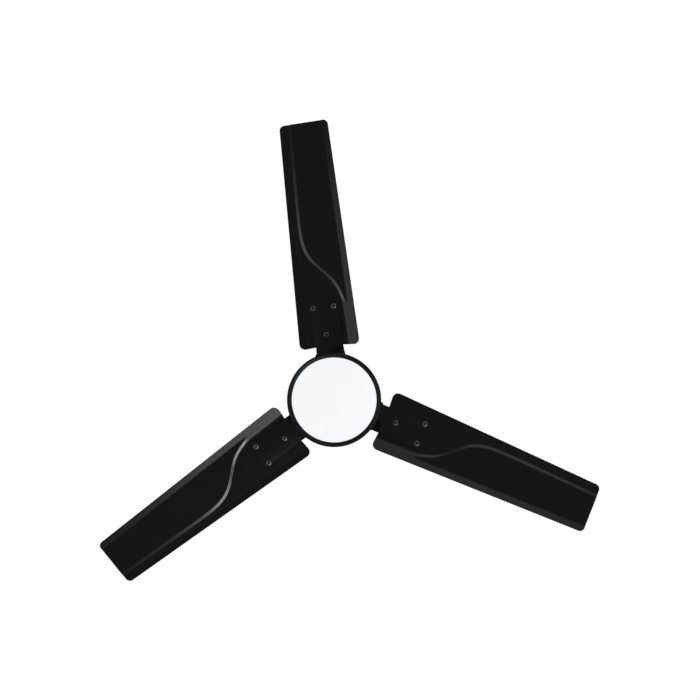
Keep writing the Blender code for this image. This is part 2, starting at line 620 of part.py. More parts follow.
def add_bearings(swing, spin):
    shaft_side = SHAFT_RADIUS + SEAT_GAP
    inner_race_outside = shaft_side + BEARING_RACE_WALL
    outer_race_inside = BEARING_RADIUS - BEARING_RACE_WALL
    for place_name, height in bearing_heights().items():
        place(place_name + "_bearing_inner_race", race(shaft_side, inner_race_outside), STEEL,
              swing, (0, 0, height - PIVOT_Z))
        place(place_name + "_bearing_balls", ball_row(inner_race_outside, outer_race_inside),
              STEEL, spin, (0, 0, height - ARM_Z))
        place(place_name + "_bearing_outer_race", race(outer_race_inside, BEARING_RADIUS), STEEL,
              spin, (0, 0, height - ARM_Z))


# ---------------------------------------------------------------- motor, turning side
def cover_profile(height):
    """Half of the motor's shell, its closed face at z = 0 and its open edge at z = height."""
    seat = BEARING_SEAT_RADIUS
    seat_depth = COVER_WALL + SEAT_GAP + BEARING_WIDTH
    corner = []
    inner_corner = []
    steps = 3
    for step in range(steps + 1):
        turn = math.radians(90) * step / steps
        inset = MOTOR_EDGE_RADIUS * (1 - math.sin(turn))
        rise = MOTOR_EDGE_RADIUS * (1 - math.cos(turn))
        corner.append((MOTOR_RADIUS - inset, rise))
        scale = (MOTOR_EDGE_RADIUS - COVER_WALL) / MOTOR_EDGE_RADIUS
        inner_corner.append((MOTOR_RADIUS - COVER_WALL - inset * scale, COVER_WALL + rise * scale))
    return [(SHAFT_RADIUS + TURN_GAP, 0), *corner, (MOTOR_RADIUS, height),
            (MOTOR_RADIUS - COVER_WALL, height), *reversed(inner_corner),
            (seat + BEARING_SEAT_WALL, COVER_WALL), (seat + BEARING_SEAT_WALL, seat_depth),
            (seat, seat_depth), (seat, COVER_WALL), (SHAFT_RADIUS + TURN_GAP, COVER_WALL)]


def blade_turns():
    """Rotation of each blade about the fan's axis."""
    return [FIRST_BLADE_ANGLE + 2 * math.pi * number / BLADE_COUNT for number in range(BLADE_COUNT)]


def lugged_cover(height, upside_down, lug_low, lug_high):
    """A motor cover with its lugs for the blade brackets, and their screw holes."""
    flip = Matrix.Rotation(math.pi, 4, "X") if upside_down else None
    shell = turned(cover_profile(height), matrix=flip)
    lugs = []
    holes = []
    lug_start = MOTOR_RADIUS - COVER_WALL / 2
    for turn in blade_turns():
        about = Matrix.Rotation(turn, 4, "Z")
        lugs.append(block((lug_start, -LUG_WIDTH / 2, lug_low), (LUG_REACH, LUG_WIDTH / 2, lug_high),
                          about))
        for side in (-1, 1):
            spot = about @ Matrix.Translation((ARM_SCREW_REACH, side * ARM_SCREW_SPACING / 2, 0))
            holes.append(cylinder(ARM_SCREW_RADIUS + SEAT_GAP, lug_low - LUG_THICKNESS,
                                  lug_high + LUG_THICKNESS, SCREW_SEGMENTS, spot))
    return worked(shell, joined=lugs, cut=holes)


def add_motor_covers(spin):
    top_height = MOTOR_TOP_Z - SPLIT_Z
    top = lugged_cover(top_height, True, -top_height, LUG_THICKNESS - top_height)
    place("motor_top_cover", top, BLACK_PAINT, spin, (0, 0, MOTOR_TOP_Z - ARM_Z))
    bottom_height = LOWER_LUG_TOP_Z - MOTOR_BOTTOM_Z
    bottom = lugged_cover(bottom_height, False, bottom_height - LUG_THICKNESS, bottom_height)
    place("motor_bottom_cover", bottom, BLACK_PAINT, spin, (0, 0, MOTOR_BOTTOM_Z - ARM_Z))
    outer = MOTOR_RADIUS - COVER_WALL - SEAT_GAP
    half = MAGNET_HEIGHT / 2
    ring = turned([(magnet_radius(), -half), (outer, -half), (outer, half), (magnet_radius(), half)])
    place("magnet_ring", ring, MAGNET, spin, (0, 0, MOTOR_MIDDLE_Z - ARM_Z))


# ---------------------------------------------------------------- blades
def corner_inset(distance, radius):
    """How far a rounded corner pulls the side in, at a distance from the end."""
    if distance >= radius:
        return 0
    return radius - math.sqrt(radius ** 2 - (radius - distance) ** 2)


def blade_creases(x):
    """Across the blade at x: (y, height) of each edge and crease, leading edge first."""
    along = (x - BLADE_ROOT) / (BLADE_TIP - BLADE_ROOT)
    lead = -blend(ROOT_LEAD_WIDTH, TIP_LEAD_WIDTH, along)
    trail = blend(ROOT_TRAIL_WIDTH, TIP_TRAIL_WIDTH, along)
    inner_bend = lead + blend(LEAD_STRIP_ROOT_WIDTH, LEAD_STRIP_TIP_WIDTH, along)
    curve = (1 + math.tanh((x - RIB_MIDDLE) / RIB_SWEEP)) / 2
    crossing = max(0, (curve - RIB_START) / (1 - RIB_START))
    parted = min(1, crossing / RIB_PARTING)
    strip = trail - TRAIL_STRIP_ROOT_WIDTH
    outer_bend = trail - TRAIL_STRIP_WIDTH
    rib_line = lead + RIB_FROM_LEADING_EDGE
    rib_high = blend(strip, rib_line - RIB_WIDTH / 2, crossing)
    rib_low = rib_high + blend(JOINED_WIDTH, RIB_WIDTH, parted)
    rib_drop = blend(JOINED_DROP, RIB_DROP, parted)
    return [(lead, -LEAD_STRIP_DROP), (inner_bend, 0), (rib_high, 0),
            (rib_low, -rib_drop), (outer_bend, -RIB_DROP), (trail, -TRAIL_STRIP_DROP)]


def crease_height(creases, y):
    """Height of the bent sheet at y, straight between its creases."""
    for (y0, z0), (y1, z1) in zip(creases, creases[1:]):
        if y <= y1:
            return blend(z0, z1, (y - y0) / (y1 - y0))
    return creases[-1][1]


def blade_stations():
    """Places along the blade where its section is drawn."""
    arc = [1 - math.cos(math.radians(90) * step / 5) for step in range(5)]
    root = [BLADE_ROOT + ROOT_CORNER_RADIUS * share for share in arc]
    tip = [BLADE_TIP - TIP_CORNER_RADIUS * share for share in reversed(arc)]
    sweep_end = RIB_MIDDLE + 2.3 * RIB_SWEEP
    sweep_steps = 15
    sweep = [blend(RIB_BEGINS, sweep_end, step / sweep_steps) for step in range(sweep_steps + 1)]
    return [*root, BLADE_ROOT + ROOT_CORNER_RADIUS, *sweep, (sweep_end + BLADE_TIP) / 2,
            BLADE_TIP - TIP_CORNER_RADIUS, *tip]


def blade_mesh():
    """Pressed sheet: x along the blade, +y to the trailing edge, z = 0 at the bracket's middle."""
    bm = bmesh.new()
    sheet_bottom = ARM_SHEET / 2 + SEAT_GAP
    rows = []
    for x in blade_stations():
        creases = blade_creases(x)
        inset = corner_inset(x - BLADE_ROOT, ROOT_CORNER_RADIUS)
        inset += corner_inset(BLADE_TIP - x, TIP_CORNER_RADIUS)
        lead = creases[0][0] + inset
        trail = creases[-1][0] - inset
        last = len(creases) - 1
        fade = max(0, 1 - (x - BLADE_ROOT) / (2 * ROOT_CORNER_RADIUS))
        row = []
        for number, (y, _) in enumerate(creases):
            y = max(lead + number * CREASE_SPACE, min(trail - (last - number) * CREASE_SPACE, y))
            set_back = BLADE_ROOT_HOLLOW * max(0, 1 - abs(y) / ROOT_LEAD_WIDTH) * fade
            low = sheet_bottom + crease_height(creases, y)
            row.append((bm.verts.new((x + set_back, y, low)),
                        bm.verts.new((x + set_back, y, low + BLADE_SHEET))))
        rows.append(row)
    for row, following in zip(rows, rows[1:]):
        for near, far, far_next, near_next in zip(row, following, following[1:], row[1:]):
            for side in (0, 1):
                bm.faces.new((near[side], far[side], far_next[side], near_next[side]))
        for edge in (0, -1):
            bm.faces.new((row[edge][0], following[edge][0], following[edge][1], row[edge][1]))
    for row in (rows[0], rows[-1]):
        for here, beyond in zip(row, row[1:]):
            bm.faces.new((here[0], beyond[0], beyond[1], here[1]))
    return mesh_from(bm)


def arm_mesh():
    """Flat strip, level at the motor and twisted to the blade's pitch beyond it."""
    stations = [ARM_START, ARM_TWIST_START]
    twist_steps = 4
    for step in range(1, twist_steps + 1):
        stations.append(blend(ARM_TWIST_START, ARM_TWIST_END, step / twist_steps))
    corner_steps = 4
    for step in range(corner_steps + 1):
        turn = math.radians(90) * step / corner_steps
        stations.append(ARM_END - ARM_CORNER_RADIUS * (1 - math.sin(turn)))
    bm = bmesh.new()
    sections = []
    for x in stations:
        share = min(1, max(0, (x - ARM_TWIST_START) / (ARM_TWIST_END - ARM_TWIST_START)))
        twist = Matrix.Rotation(-BLADE_PITCH * share, 4, "X")
        half = ARM_WIDTH / 2 - corner_inset(ARM_END - x, ARM_CORNER_RADIUS)
        corners = [(ARM_OFFSET - half, -ARM_SHEET / 2), (ARM_OFFSET + half, -ARM_SHEET / 2),
                   (ARM_OFFSET + half, ARM_SHEET / 2), (ARM_OFFSET - half, ARM_SHEET / 2)]
        sections.append([bm.verts.new(twist @ Vector((x, y, z))) for y, z in corners])
    for section, following in zip(sections, sections[1:]):
        for corner in range(4):
            after = (corner + 1) % 4
            bm.faces.new((section[corner], section[after], following[after], following[corner]))
    bm.faces.new(sections[0])
    bm.faces.new(sections[-1])
    return mesh_from(bm)


def blade_screw_mesh():
    """Screw turned about z, its head under the bracket and its end above the blade."""
    head_top = -ARM_SHEET / 2 - SEAT_GAP
    head_bottom = head_top - BLADE_SCREW_HEAD_HEIGHT
    end = ARM_SHEET / 2 + SEAT_GAP + BLADE_SHEET + BLADE_SCREW_STICKS_OUT
    bevel = BLADE_SCREW_HEAD_HEIGHT / 2
    profile = [(0, head_bottom + BLADE_SCREW_RECESS_DEPTH),
               (BLADE_SCREW_RECESS_RADIUS, head_bottom + BLADE_SCREW_RECESS_DEPTH),
               (BLADE_SCREW_RECESS_RADIUS, head_bottom),
               (BLADE_SCREW_HEAD_RADIUS - bevel, head_bottom),
               (BLADE_SCREW_HEAD_RADIUS, head_bottom + bevel), (BLADE_SCREW_HEAD_RADIUS, head_top),
               (BLADE_SCREW_RADIUS, head_top), (BLADE_SCREW_RADIUS, end), (0, end)]
    return turned(profile, SCREW_SEGMENTS)


def arm_screw_mesh():
    """Screw turned about z, its head under the bracket and its end above the upper lug."""
    head_top = -ARM_SHEET / 2 - SEAT_GAP
    head_bottom = head_top - ARM_SCREW_HEAD_HEIGHT
    end = SPLIT_Z + LUG_THICKNESS + TURN_GAP - ARM_Z
    profile = [(0, head_bottom), (ARM_SCREW_HEAD_RADIUS, head_bottom),
               (ARM_SCREW_HEAD_RADIUS, head_top), (ARM_SCREW_RADIUS, head_top),
               (ARM_SCREW_RADIUS, end), (0, end)]
    return turned(profile, SCREW_SEGMENTS)


def add_blades(spin):
    pitched = Matrix.Rotation(-BLADE_PITCH, 4, "X")
    reach = 4 * ARM_SHEET
    spots = [Matrix.Translation((x, y, 0)) for x, y in BLADE_SCREW_PLACES]
    hole = BLADE_SCREW_RADIUS + SEAT_GAP
    blade = worked(blade_mesh(),
                   cut=[cylinder(hole, -reach, reach, SCREW_SEGMENTS, spot) for spot in spots])
    arm_holes = [cylinder(hole, -reach, reach, SCREW_SEGMENTS, pitched @ spot) for spot in spots]
    for side in (-1, 1):
        spot = Matrix.Translation((ARM_SCREW_REACH, side * ARM_SCREW_SPACING / 2, 0))
        arm_holes.append(cylinder(ARM_SCREW_RADIUS + SEAT_GAP, -reach, reach, SCREW_SEGMENTS, spot))
    arm = worked(arm_mesh(), cut=arm_holes)
    blade_screw = blade_screw_mesh()
    arm_screw = arm_screw_mesh()
    for number, turn in enumerate(blade_turns(), start=1):
        level = guide(f"arm_{number}", spin, rotation=(0, 0, turn))
        tilted = guide(f"pitch_{number}", spin, rotation=(-BLADE_PITCH, 0, turn))
        place(f"blade_bracket_{number}", arm, BLACK_PAINT, level)
        place(f"blade_{number}", blade, BLACK_PAINT, tilted)
        for screw, (x, y) in enumerate(BLADE_SCREW_PLACES, start=1):
            place(f"blade_{number}_screw_{screw}", blade_screw, ZINC, tilted, (x, y, 0))
        for screw, side in enumerate((-1, 1), start=1):
            place(f"bracket_{number}_screw_{screw}", arm_screw, ZINC, level,
                  (ARM_SCREW_REACH, side * ARM_SCREW_SPACING / 2, 0))


# ---------------------------------------------------------------- light
def add_light_housing(swing):
    inner = PAN_RADIUS - PAN_WALL
    shaft_hole = SHAFT_RADIUS + SEAT_GAP
    shoulder = PAN_TOP_Z - PAN_SHOULDER
    top_radius = PAN_RADIUS - PAN_TOP_INSET
    pan = [(shaft_hole, PAN_TOP_Z - PAN_WALL), (top_radius - PAN_WALL, PAN_TOP_Z - PAN_WALL),
           (inner, shoulder - PAN_WALL / 2), (inner, PAN_RIM_Z), (PAN_RADIUS, PAN_RIM_Z),
           (PAN_RADIUS, shoulder), (top_radius, PAN_TOP_Z), (shaft_hole, PAN_TOP_Z)]
    holes = [bezel_screw_hole(turn) for turn in bezel_screw_turns()]
    mesh = worked(turned(pan), cut=holes)
    place("light_housing", mesh, BLACK_PLASTIC, swing, (0, 0, -PIVOT_Z))
    nut = hex_nut(shaft_hole, shaft_hole + PAN_NUT_WALL, PAN_NUT_HEIGHT, SMALL_SEGMENTS)
    place("light_housing_nut", nut, ZINC, swing, (0, 0, pan_nut_bottom() - PIVOT_Z))


def add_light_engine(swing):
    carrier = cylinder(CARRIER_RADIUS, CARRIER_BOTTOM_Z, CARRIER_TOP_Z, ROUND_SEGMENTS)
    place("light_carrier", carrier, ALUMINIUM, swing, (0, 0, -PIVOT_Z))
    board_top = CARRIER_BOTTOM_Z - SEAT_GAP
    board_radius = CARRIER_RADIUS - LED_BOARD_MARGIN
    board = cylinder(board_radius, board_top - LED_BOARD_THICKNESS, board_top, ROUND_SEGMENTS)
    place("led_board", board, WHITE_BOARD, swing, (0, 0, -PIVOT_Z))
    bottom = CARRIER_TOP_Z + SEAT_GAP
    driver = block((DRIVER_START, -DRIVER_WIDTH / 2, bottom),
                   (DRIVER_END, DRIVER_WIDTH / 2, bottom + DRIVER_HEIGHT))
    place("led_driver", driver, WHITE_PLASTIC, swing, (0, 0, -PIVOT_Z))


def bezel_screw_height():
    return BEZEL_FACE_TOP_Z + BEZEL_SKIRT_HEIGHT - 2 * BEZEL_SCREW_HEAD_RADIUS


def bezel_screw_turns():
    return [2 * math.pi * number / BEZEL_SCREW_COUNT for number in range(BEZEL_SCREW_COUNT)]


def bezel_screw_hole(turn):
    """Cutter along the radius through the bezel's skirt and the housing's wall."""
    along = Matrix.Rotation(turn, 4, "Z") @ about_x(z=bezel_screw_height())
    return cylinder(BEZEL_SCREW_RADIUS + SEAT_GAP, PAN_RADIUS - 3 * PAN_WALL, BEZEL_RADIUS,
                    SCREW_SEGMENTS, along)


def add_bezel(swing):
    groove = BEZEL_RADIUS - BEZEL_BAND_WIDTH
    skirt_top = BEZEL_FACE_TOP_Z + BEZEL_SKIRT_HEIGHT
    profile = [(BEZEL_WINDOW_RADIUS, BEZEL_BOTTOM_Z + BEZEL_GROOVE_DEPTH),
               (groove, BEZEL_BOTTOM_Z + BEZEL_GROOVE_DEPTH / 3), (groove, BEZEL_BOTTOM_Z),
               (BEZEL_RADIUS, BEZEL_BOTTOM_Z + BEZEL_GROOVE_DEPTH / 2),
               (BEZEL_RADIUS, BEZEL_FACE_TOP_Z), (SKIRT_RADIUS, BEZEL_FACE_TOP_Z),
               (SKIRT_RADIUS, skirt_top), (PAN_RADIUS + SEAT_GAP, skirt_top),
               (PAN_RADIUS + SEAT_GAP, BEZEL_FACE_TOP_Z), (BEZEL_WINDOW_RADIUS, BEZEL_FACE_TOP_Z)]
    holes = [bezel_screw_hole(turn) for turn in bezel_screw_turns()]
    place("light_bezel", worked(turned(profile), cut=holes), BLACK_PLASTIC, swing,
          (0, 0, -PIVOT_Z))
    shank_end = PAN_WALL + BEZEL_SKIRT_WALL + 2 * SEAT_GAP + TURN_GAP
    screw = bezel_screw_mesh(shank_end)
    for number, turn in enumerate(bezel_screw_turns(), start=1):
        reach = SKIRT_RADIUS + SEAT_GAP
        spot = (reach * math.cos(turn), reach * math.sin(turn), bezel_screw_height() - PIVOT_Z)
        place(f"bezel_screw_{number}", screw, ZINC, swing, spot, (0, math.radians(90), turn))


def bezel_screw_mesh(shank_length):
    """Screw turned about z: the shank below z = 0 and the head above it."""
    profile = [(0, -shank_length), (BEZEL_SCREW_RADIUS, -shank_length), (BEZEL_SCREW_RADIUS, 0),
               (BEZEL_SCREW_HEAD_RADIUS, 0), (BEZEL_SCREW_HEAD_RADIUS, BEZEL_SCREW_HEAD_HEIGHT),
               (0, BEZEL_SCREW_HEAD_HEIGHT)]
    return turned(profile, SCREW_SEGMENTS)


def add_diffuser(swing):
    lip = PAN_RADIUS - PAN_WALL
    window = BEZEL_WINDOW_RADIUS - SEAT_GAP
    face = BEZEL_BOTTOM_Z + BEZEL_GROOVE_DEPTH
    profile = [(0, DIFFUSER_TOP_Z), (0, face - DIFFUSER_DOME)]
    steps = 3
    for step in range(1, steps + 1):
        share = step / steps
        profile.append((window * share, face - DIFFUSER_DOME * (1 - share ** 2)))
    profile += [(window, DIFFUSER_LIP_Z), (lip, DIFFUSER_LIP_Z), (lip, DIFFUSER_TOP_Z)]
    place("light_diffuser", turned(profile), OPAL, swing, (0, 0, -PIVOT_Z))


# ---------------------------------------------------------------- inner lead
def add_lead(swing):
    """Lead from the connector in the upper canopy, down the rod and shaft, to the LED driver."""
    side = (COUPLER_BOLT_RADIUS + ROD_RADIUS - ROD_WALL) / 2
    shaft_side = SHAFT_BORE_RADIUS - LEAD_RADIUS - SLIDE_GAP
    shaft_end = pan_nut_bottom() - SHAFT_BELOW_NUT
    driver_z = CARRIER_TOP_Z + SEAT_GAP + DRIVER_HEIGHT / 2
    driver_x = DRIVER_START - SEAT_GAP
    route = [Vector((0, CONNECTOR_OUT - SEAT_GAP, LEAD_HOLE_Z)),
             Vector((0, ROD_RADIUS, LEAD_HOLE_Z)),
             Vector((0, side, LEAD_HOLE_Z - 1.5 * LEAD_HOLE_RADIUS)),
             Vector((0, side, COUPLER_TOP_Z)),
             Vector((0, side, COUPLER_BOLT_Z - COUPLER_BOLT_RADIUS)),
             Vector((0, shaft_side, SHAFT_TOP_Z + SHAFT_BORE_RADIUS / 2)),
             Vector((0, 0, MOTOR_MIDDLE_Z)),
             Vector((0, 0, shaft_end)),
             Vector((driver_x / 2, 0, driver_z)),
             Vector((driver_x, 0, driver_z))]
    curve = bpy.data.curves.new("lead", "CURVE")
    curve.dimensions = "3D"
    curve.bevel_depth = LEAD_RADIUS
    curve.bevel_resolution = 2
    curve.use_fill_caps = True
    points = smooth_route(route, LEAD_SPACING)
    spline = curve.splines.new("POLY")
    spline.points.add(len(points) - 1)
    for target, point in zip(spline.points, points):
        target.co = (*point, 1)
    material = bpy.data.materials.new("inner_lead")
    material.use_nodes = True
    shader = material.node_tree.nodes["Principled BSDF"]
    shader.inputs["Base Color"].default_value = (*RUBBER[0], 1)
    curve.materials.append(material)
    lead = bpy.data.objects.new("inner_lead", curve)
    bpy.context.collection.objects.link(lead)
    attach(lead, swing, (0, 0, -PIVOT_Z), (0, 0, 0))
    low = (-CONNECTOR_LENGTH / 2, CONNECTOR_OUT, LEAD_HOLE_Z - CONNECTOR_HEIGHT / 2)
    high = (CONNECTOR_LENGTH / 2, CONNECTOR_OUT + CONNECTOR_WIDTH,
            LEAD_HOLE_Z + CONNECTOR_HEIGHT / 2)
    place("connector_block", block(low, high), WHITE_PLASTIC, swing, (0, 0, -PIVOT_Z))


def smooth_route(route, spacing):
    """Points along a smooth curve through the route, about one spacing apart."""
    before = [route[0], *route[:-1]]
    after = [*route[2:], route[-1]]
    points = []
    for left, start, end, right in zip(before, route, route[1:], after):
        count = max(2, round((end - start).length / spacing))
        leave = (end - left) / 2
        reach = (right - start) / 2
        limit = (end - start).length
        leave = leave.normalized() * min(leave.length, limit)
        reach = reach.normalized() * min(reach.length, limit)
        for step in range(count):
            t = step / count
            points.append((2 * t ** 3 - 3 * t ** 2 + 1) * start + (t ** 3 - 2 * t ** 2 + t) * leave
                          + (3 * t ** 2 - 2 * t ** 3) * end + (t ** 3 - t ** 2) * reach)
    points.append(route[-1])
    return points


# ---------------------------------------------------------------- assembly
def build():
    for item in list(bpy.data.objects):
        bpy.data.objects.remove(item)
    add_ceiling_bracket()
    add_hanger_bolt()
    swing = guide("swing_pivot", location=(0, 0, PIVOT_Z))
    spin = guide("spin_axis", swing, (0, 0, ARM_Z - PIVOT_Z))
    bpy.context.view_layer.update()
    add_hanger_bush(swing)
    add_downrod(swing)
    add_coupler(swing)
    add_canopy("upper_canopy", swing, UPPER_CANOPY_RADIUS, UPPER_CANOPY_HEIGHT, UPPER_RIM_Z, True)
    add_canopy("lower_canopy", swing, LOWER_CANOPY_RADIUS, LOWER_CANOPY_HEIGHT, LOWER_RIM_Z, False)
    add_shaft(swing)
    add_stator(swing)
    add_controller_board(swing)
    add_bearings(swing, spin)
    add_motor_covers(spin)
    add_blades(spin)
    add_light_housing(swing)
    add_light_engine(swing)
    add_bezel(swing)
    add_diffuser(swing)
    add_lead(swing)


build()
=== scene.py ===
import math

import bpy
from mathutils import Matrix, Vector


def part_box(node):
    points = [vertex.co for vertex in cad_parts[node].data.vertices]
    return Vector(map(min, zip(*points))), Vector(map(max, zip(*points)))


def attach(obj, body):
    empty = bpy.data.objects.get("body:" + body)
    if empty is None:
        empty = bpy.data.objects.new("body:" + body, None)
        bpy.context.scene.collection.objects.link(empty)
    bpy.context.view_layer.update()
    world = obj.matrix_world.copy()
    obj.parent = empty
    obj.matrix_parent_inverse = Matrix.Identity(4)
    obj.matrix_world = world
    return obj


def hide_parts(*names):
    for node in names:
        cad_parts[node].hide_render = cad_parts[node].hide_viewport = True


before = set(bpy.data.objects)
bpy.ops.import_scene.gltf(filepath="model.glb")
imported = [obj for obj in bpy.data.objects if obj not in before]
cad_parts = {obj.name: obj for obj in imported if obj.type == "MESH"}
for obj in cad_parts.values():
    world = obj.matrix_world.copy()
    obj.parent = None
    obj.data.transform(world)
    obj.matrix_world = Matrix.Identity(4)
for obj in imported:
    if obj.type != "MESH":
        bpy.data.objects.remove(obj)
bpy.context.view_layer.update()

MM = 0.001


# ---------------------------------------------------------------- view, floor and light
# The fan hangs in an empty white room and is looked at from the floor, a little to one side.
# Three soft panels stand low round it, each weaker than the one before, and a broad one above
# lights the upper sides and the pale floor.
lens_data = bpy.data.cameras.new("view_from_below")
lens_data.lens = 66.81
lens_data.sensor_width = 36
viewer = bpy.data.objects.new("view_from_below", lens_data)
viewer.location = (0.1031, -0.0836, -3.125)
viewer.rotation_euler = (math.radians(-179.823), math.radians(-1.273), math.radians(6.699))
bpy.context.scene.collection.objects.link(viewer)
bpy.context.scene.camera = viewer
bpy.context.scene.view_settings.view_transform = "Standard"

bpy.ops.object.select_all(action="DESELECT")
bpy.ops.mesh.primitive_plane_add(size=60, location=(0, 0, -3.4))
room_floor = bpy.context.object
room_floor.name = "room_floor"
room_floor.visible_glossy = False
floor_paint = bpy.data.materials.new("pale_floor")
floor_paint.use_nodes = True
floor_shader = floor_paint.node_tree.nodes["Principled BSDF"]
floor_shader.inputs["Base Color"].default_value = (0.86, 0.86, 0.86, 1)
floor_shader.inputs["Roughness"].default_value = 0.9
room_floor.data.materials.append(floor_paint)

room = bpy.data.worlds.new("white_room")
room.use_nodes = True
bpy.context.scene.world = room
room_nodes = room.node_tree.nodes
room_links = room.node_tree.links
room_nodes.clear()
rays = room_nodes.new("ShaderNodeLightPath")
backdrop = room_nodes.new("ShaderNodeBackground")
backdrop.inputs["Strength"].default_value = 1.0
backdrop.inputs["Color"].default_value = (1, 1, 1, 1)
ambience = room_nodes.new("ShaderNodeBackground")
ambience.inputs["Color"].default_value = (1, 1, 1, 1)
ambience.inputs["Strength"].default_value = 0.08
chosen = room_nodes.new("ShaderNodeMixShader")
room_output = room_nodes.new("ShaderNodeOutputWorld")
room_links.new(rays.outputs["Is Camera Ray"], chosen.inputs[0])
room_links.new(ambience.outputs[0], chosen.inputs[1])
room_links.new(backdrop.outputs[0], chosen.inputs[2])
room_links.new(chosen.outputs[0], room_output.inputs["Surface"])


def soft_panel(name, width, height, power, place, aim):
    """A soft light at a place, facing a point."""
    panel = bpy.data.lights.new(name, "AREA")
    panel.shape = "RECTANGLE"
    panel.size = width
    panel.size_y = height
    panel.energy = power
    holder = bpy.data.objects.new(name, panel)
    holder.location = place
    holder.rotation_euler = (Vector(aim) - Vector(place)).to_track_quat("-Z", "Y").to_euler()
    bpy.context.scene.collection.objects.link(holder)


hub = (0, 0, -0.35)
soft_panel("main_panel", 1.8, 0.77, 26, (1.34, 2.27, -2.41), hub)
soft_panel("opposite_panel", 2.1, 0.9, 8.8, (-2.79, 0.20, -2.46), hub)
soft_panel("faint_panel", 2.0, 1.9, 4.8, (1.29, -1.89, -1.82), hub)
soft_panel("upper_panel", 4.0, 4.0, 420, (1.6, -2.0, 3.2), hub)


# ---------------------------------------------------------------- ceiling bracket and its bolt
# A bent strip of zinc-plated steel, screwed to the ceiling, with a bolt and nut through its
# two cheeks. The rubber bush in the downrod hangs on the bolt.
def finish(name, dark, light, rough, metallic=0.0, grain=60, stretch=(1, 1, 1), pitted=0.0):
    """A finish with drifting colour and gloss, and pits or brushing as deep as asked."""
    made = bpy.data.materials.new(name)
    made.use_nodes = True
    nodes = made.node_tree.nodes
    links = made.node_tree.links
    shader = nodes["Principled BSDF"]
    shader.inputs["Metallic"].default_value = metallic
    place = nodes.new("ShaderNodeTexCoord")
    stretched = nodes.new("ShaderNodeMapping")
    stretched.inputs["Scale"].default_value = stretch
    links.new(place.outputs["Object"], stretched.inputs["Vector"])
    drift = nodes.new("ShaderNodeTexNoise")
    drift.inputs["Scale"].default_value = grain
    drift.inputs["Detail"].default_value = 5
    links.new(stretched.outputs["Vector"], drift.inputs["Vector"])
    tint = nodes.new("ShaderNodeMix")
    tint.data_type = "RGBA"
    tint.inputs[6].default_value = (*dark, 1)
    tint.inputs[7].default_value = (*light, 1)
    links.new(drift.outputs["Fac"], tint.inputs[0])
    links.new(tint.outputs[2], shader.inputs["Base Color"])
    gloss = nodes.new("ShaderNodeMapRange")
    gloss.inputs["To Min"].default_value = rough[0]
    gloss.inputs["To Max"].default_value = rough[1]
    links.new(drift.outputs["Fac"], gloss.inputs["Value"])
    links.new(gloss.outputs["Result"], shader.inputs["Roughness"])
    if pitted:
        fine = nodes.new("ShaderNodeTexNoise")
        fine.inputs["Scale"].default_value = grain * 12
        fine.inputs["Detail"].default_value = 2
        links.new(stretched.outputs["Vector"], fine.inputs["Vector"])
        bump = nodes.new("ShaderNodeBump")
        bump.inputs["Strength"].default_value = pitted
        bump.inputs["Distance"].default_value = 0.2 * MM
        links.new(fine.outputs["Fac"], bump.inputs["Height"])
        links.new(bump.outputs["Normal"], shader.inputs["Normal"])
    return made


def give(node, made):
    """Put a finish on a piece of the frame as it stands."""
    for held in bpy.data.objects[node].material_slots:
        held.material = made


def zinc_plate(name):
    return finish(name, (0.42, 0.43, 0.44), (0.66, 0.67, 0.68), (0.26, 0.44), 1.0, 90, pitted=0.15)


give("ceiling_bracket", zinc_plate("bracket_zinc"))
give("hanger_bolt", zinc_plate("hanger_bolt_zinc"))
give("hanger_nut", zinc_plate("hanger_nut_zinc"))
give("hanger_bush", finish("bush_rubber", (0.012, 0.012, 0.012), (0.03, 0.03, 0.03), (0.7, 0.9),
                           grain=140, pitted=0.4))


# ---------------------------------------------------------------- downrod
# Steel tube painted satin black, bored across for the bush and for the coupler's bolt.
# A larger hole on one side lets the lead in below the bracket.
def satin_black(name):
    """Sprayed satin paint: fine orange peel and slightly uneven gloss."""
    paint = finish(name, (0.0022, 0.0022, 0.0024), (0.0036, 0.0036, 0.0038), (0.19, 0.24),
                   grain=14)
    nodes = paint.node_tree.nodes
    nodes["Principled BSDF"].inputs["Specular IOR Level"].default_value = 0.88
    links = paint.node_tree.links
    place = nodes.new("ShaderNodeTexCoord")
    peel = nodes.new("ShaderNodeTexNoise")
    peel.inputs["Scale"].default_value = 700
    peel.inputs["Detail"].default_value = 1
    links.new(place.outputs["Object"], peel.inputs["Vector"])
    bump = nodes.new("ShaderNodeBump")
    bump.inputs["Strength"].default_value = 0.02
    bump.inputs["Distance"].default_value = 0.2 * MM
    links.new(peel.outputs["Fac"], bump.inputs["Height"])
    links.new(bump.outputs["Normal"], nodes["Principled BSDF"].inputs["Normal"])
    return paint


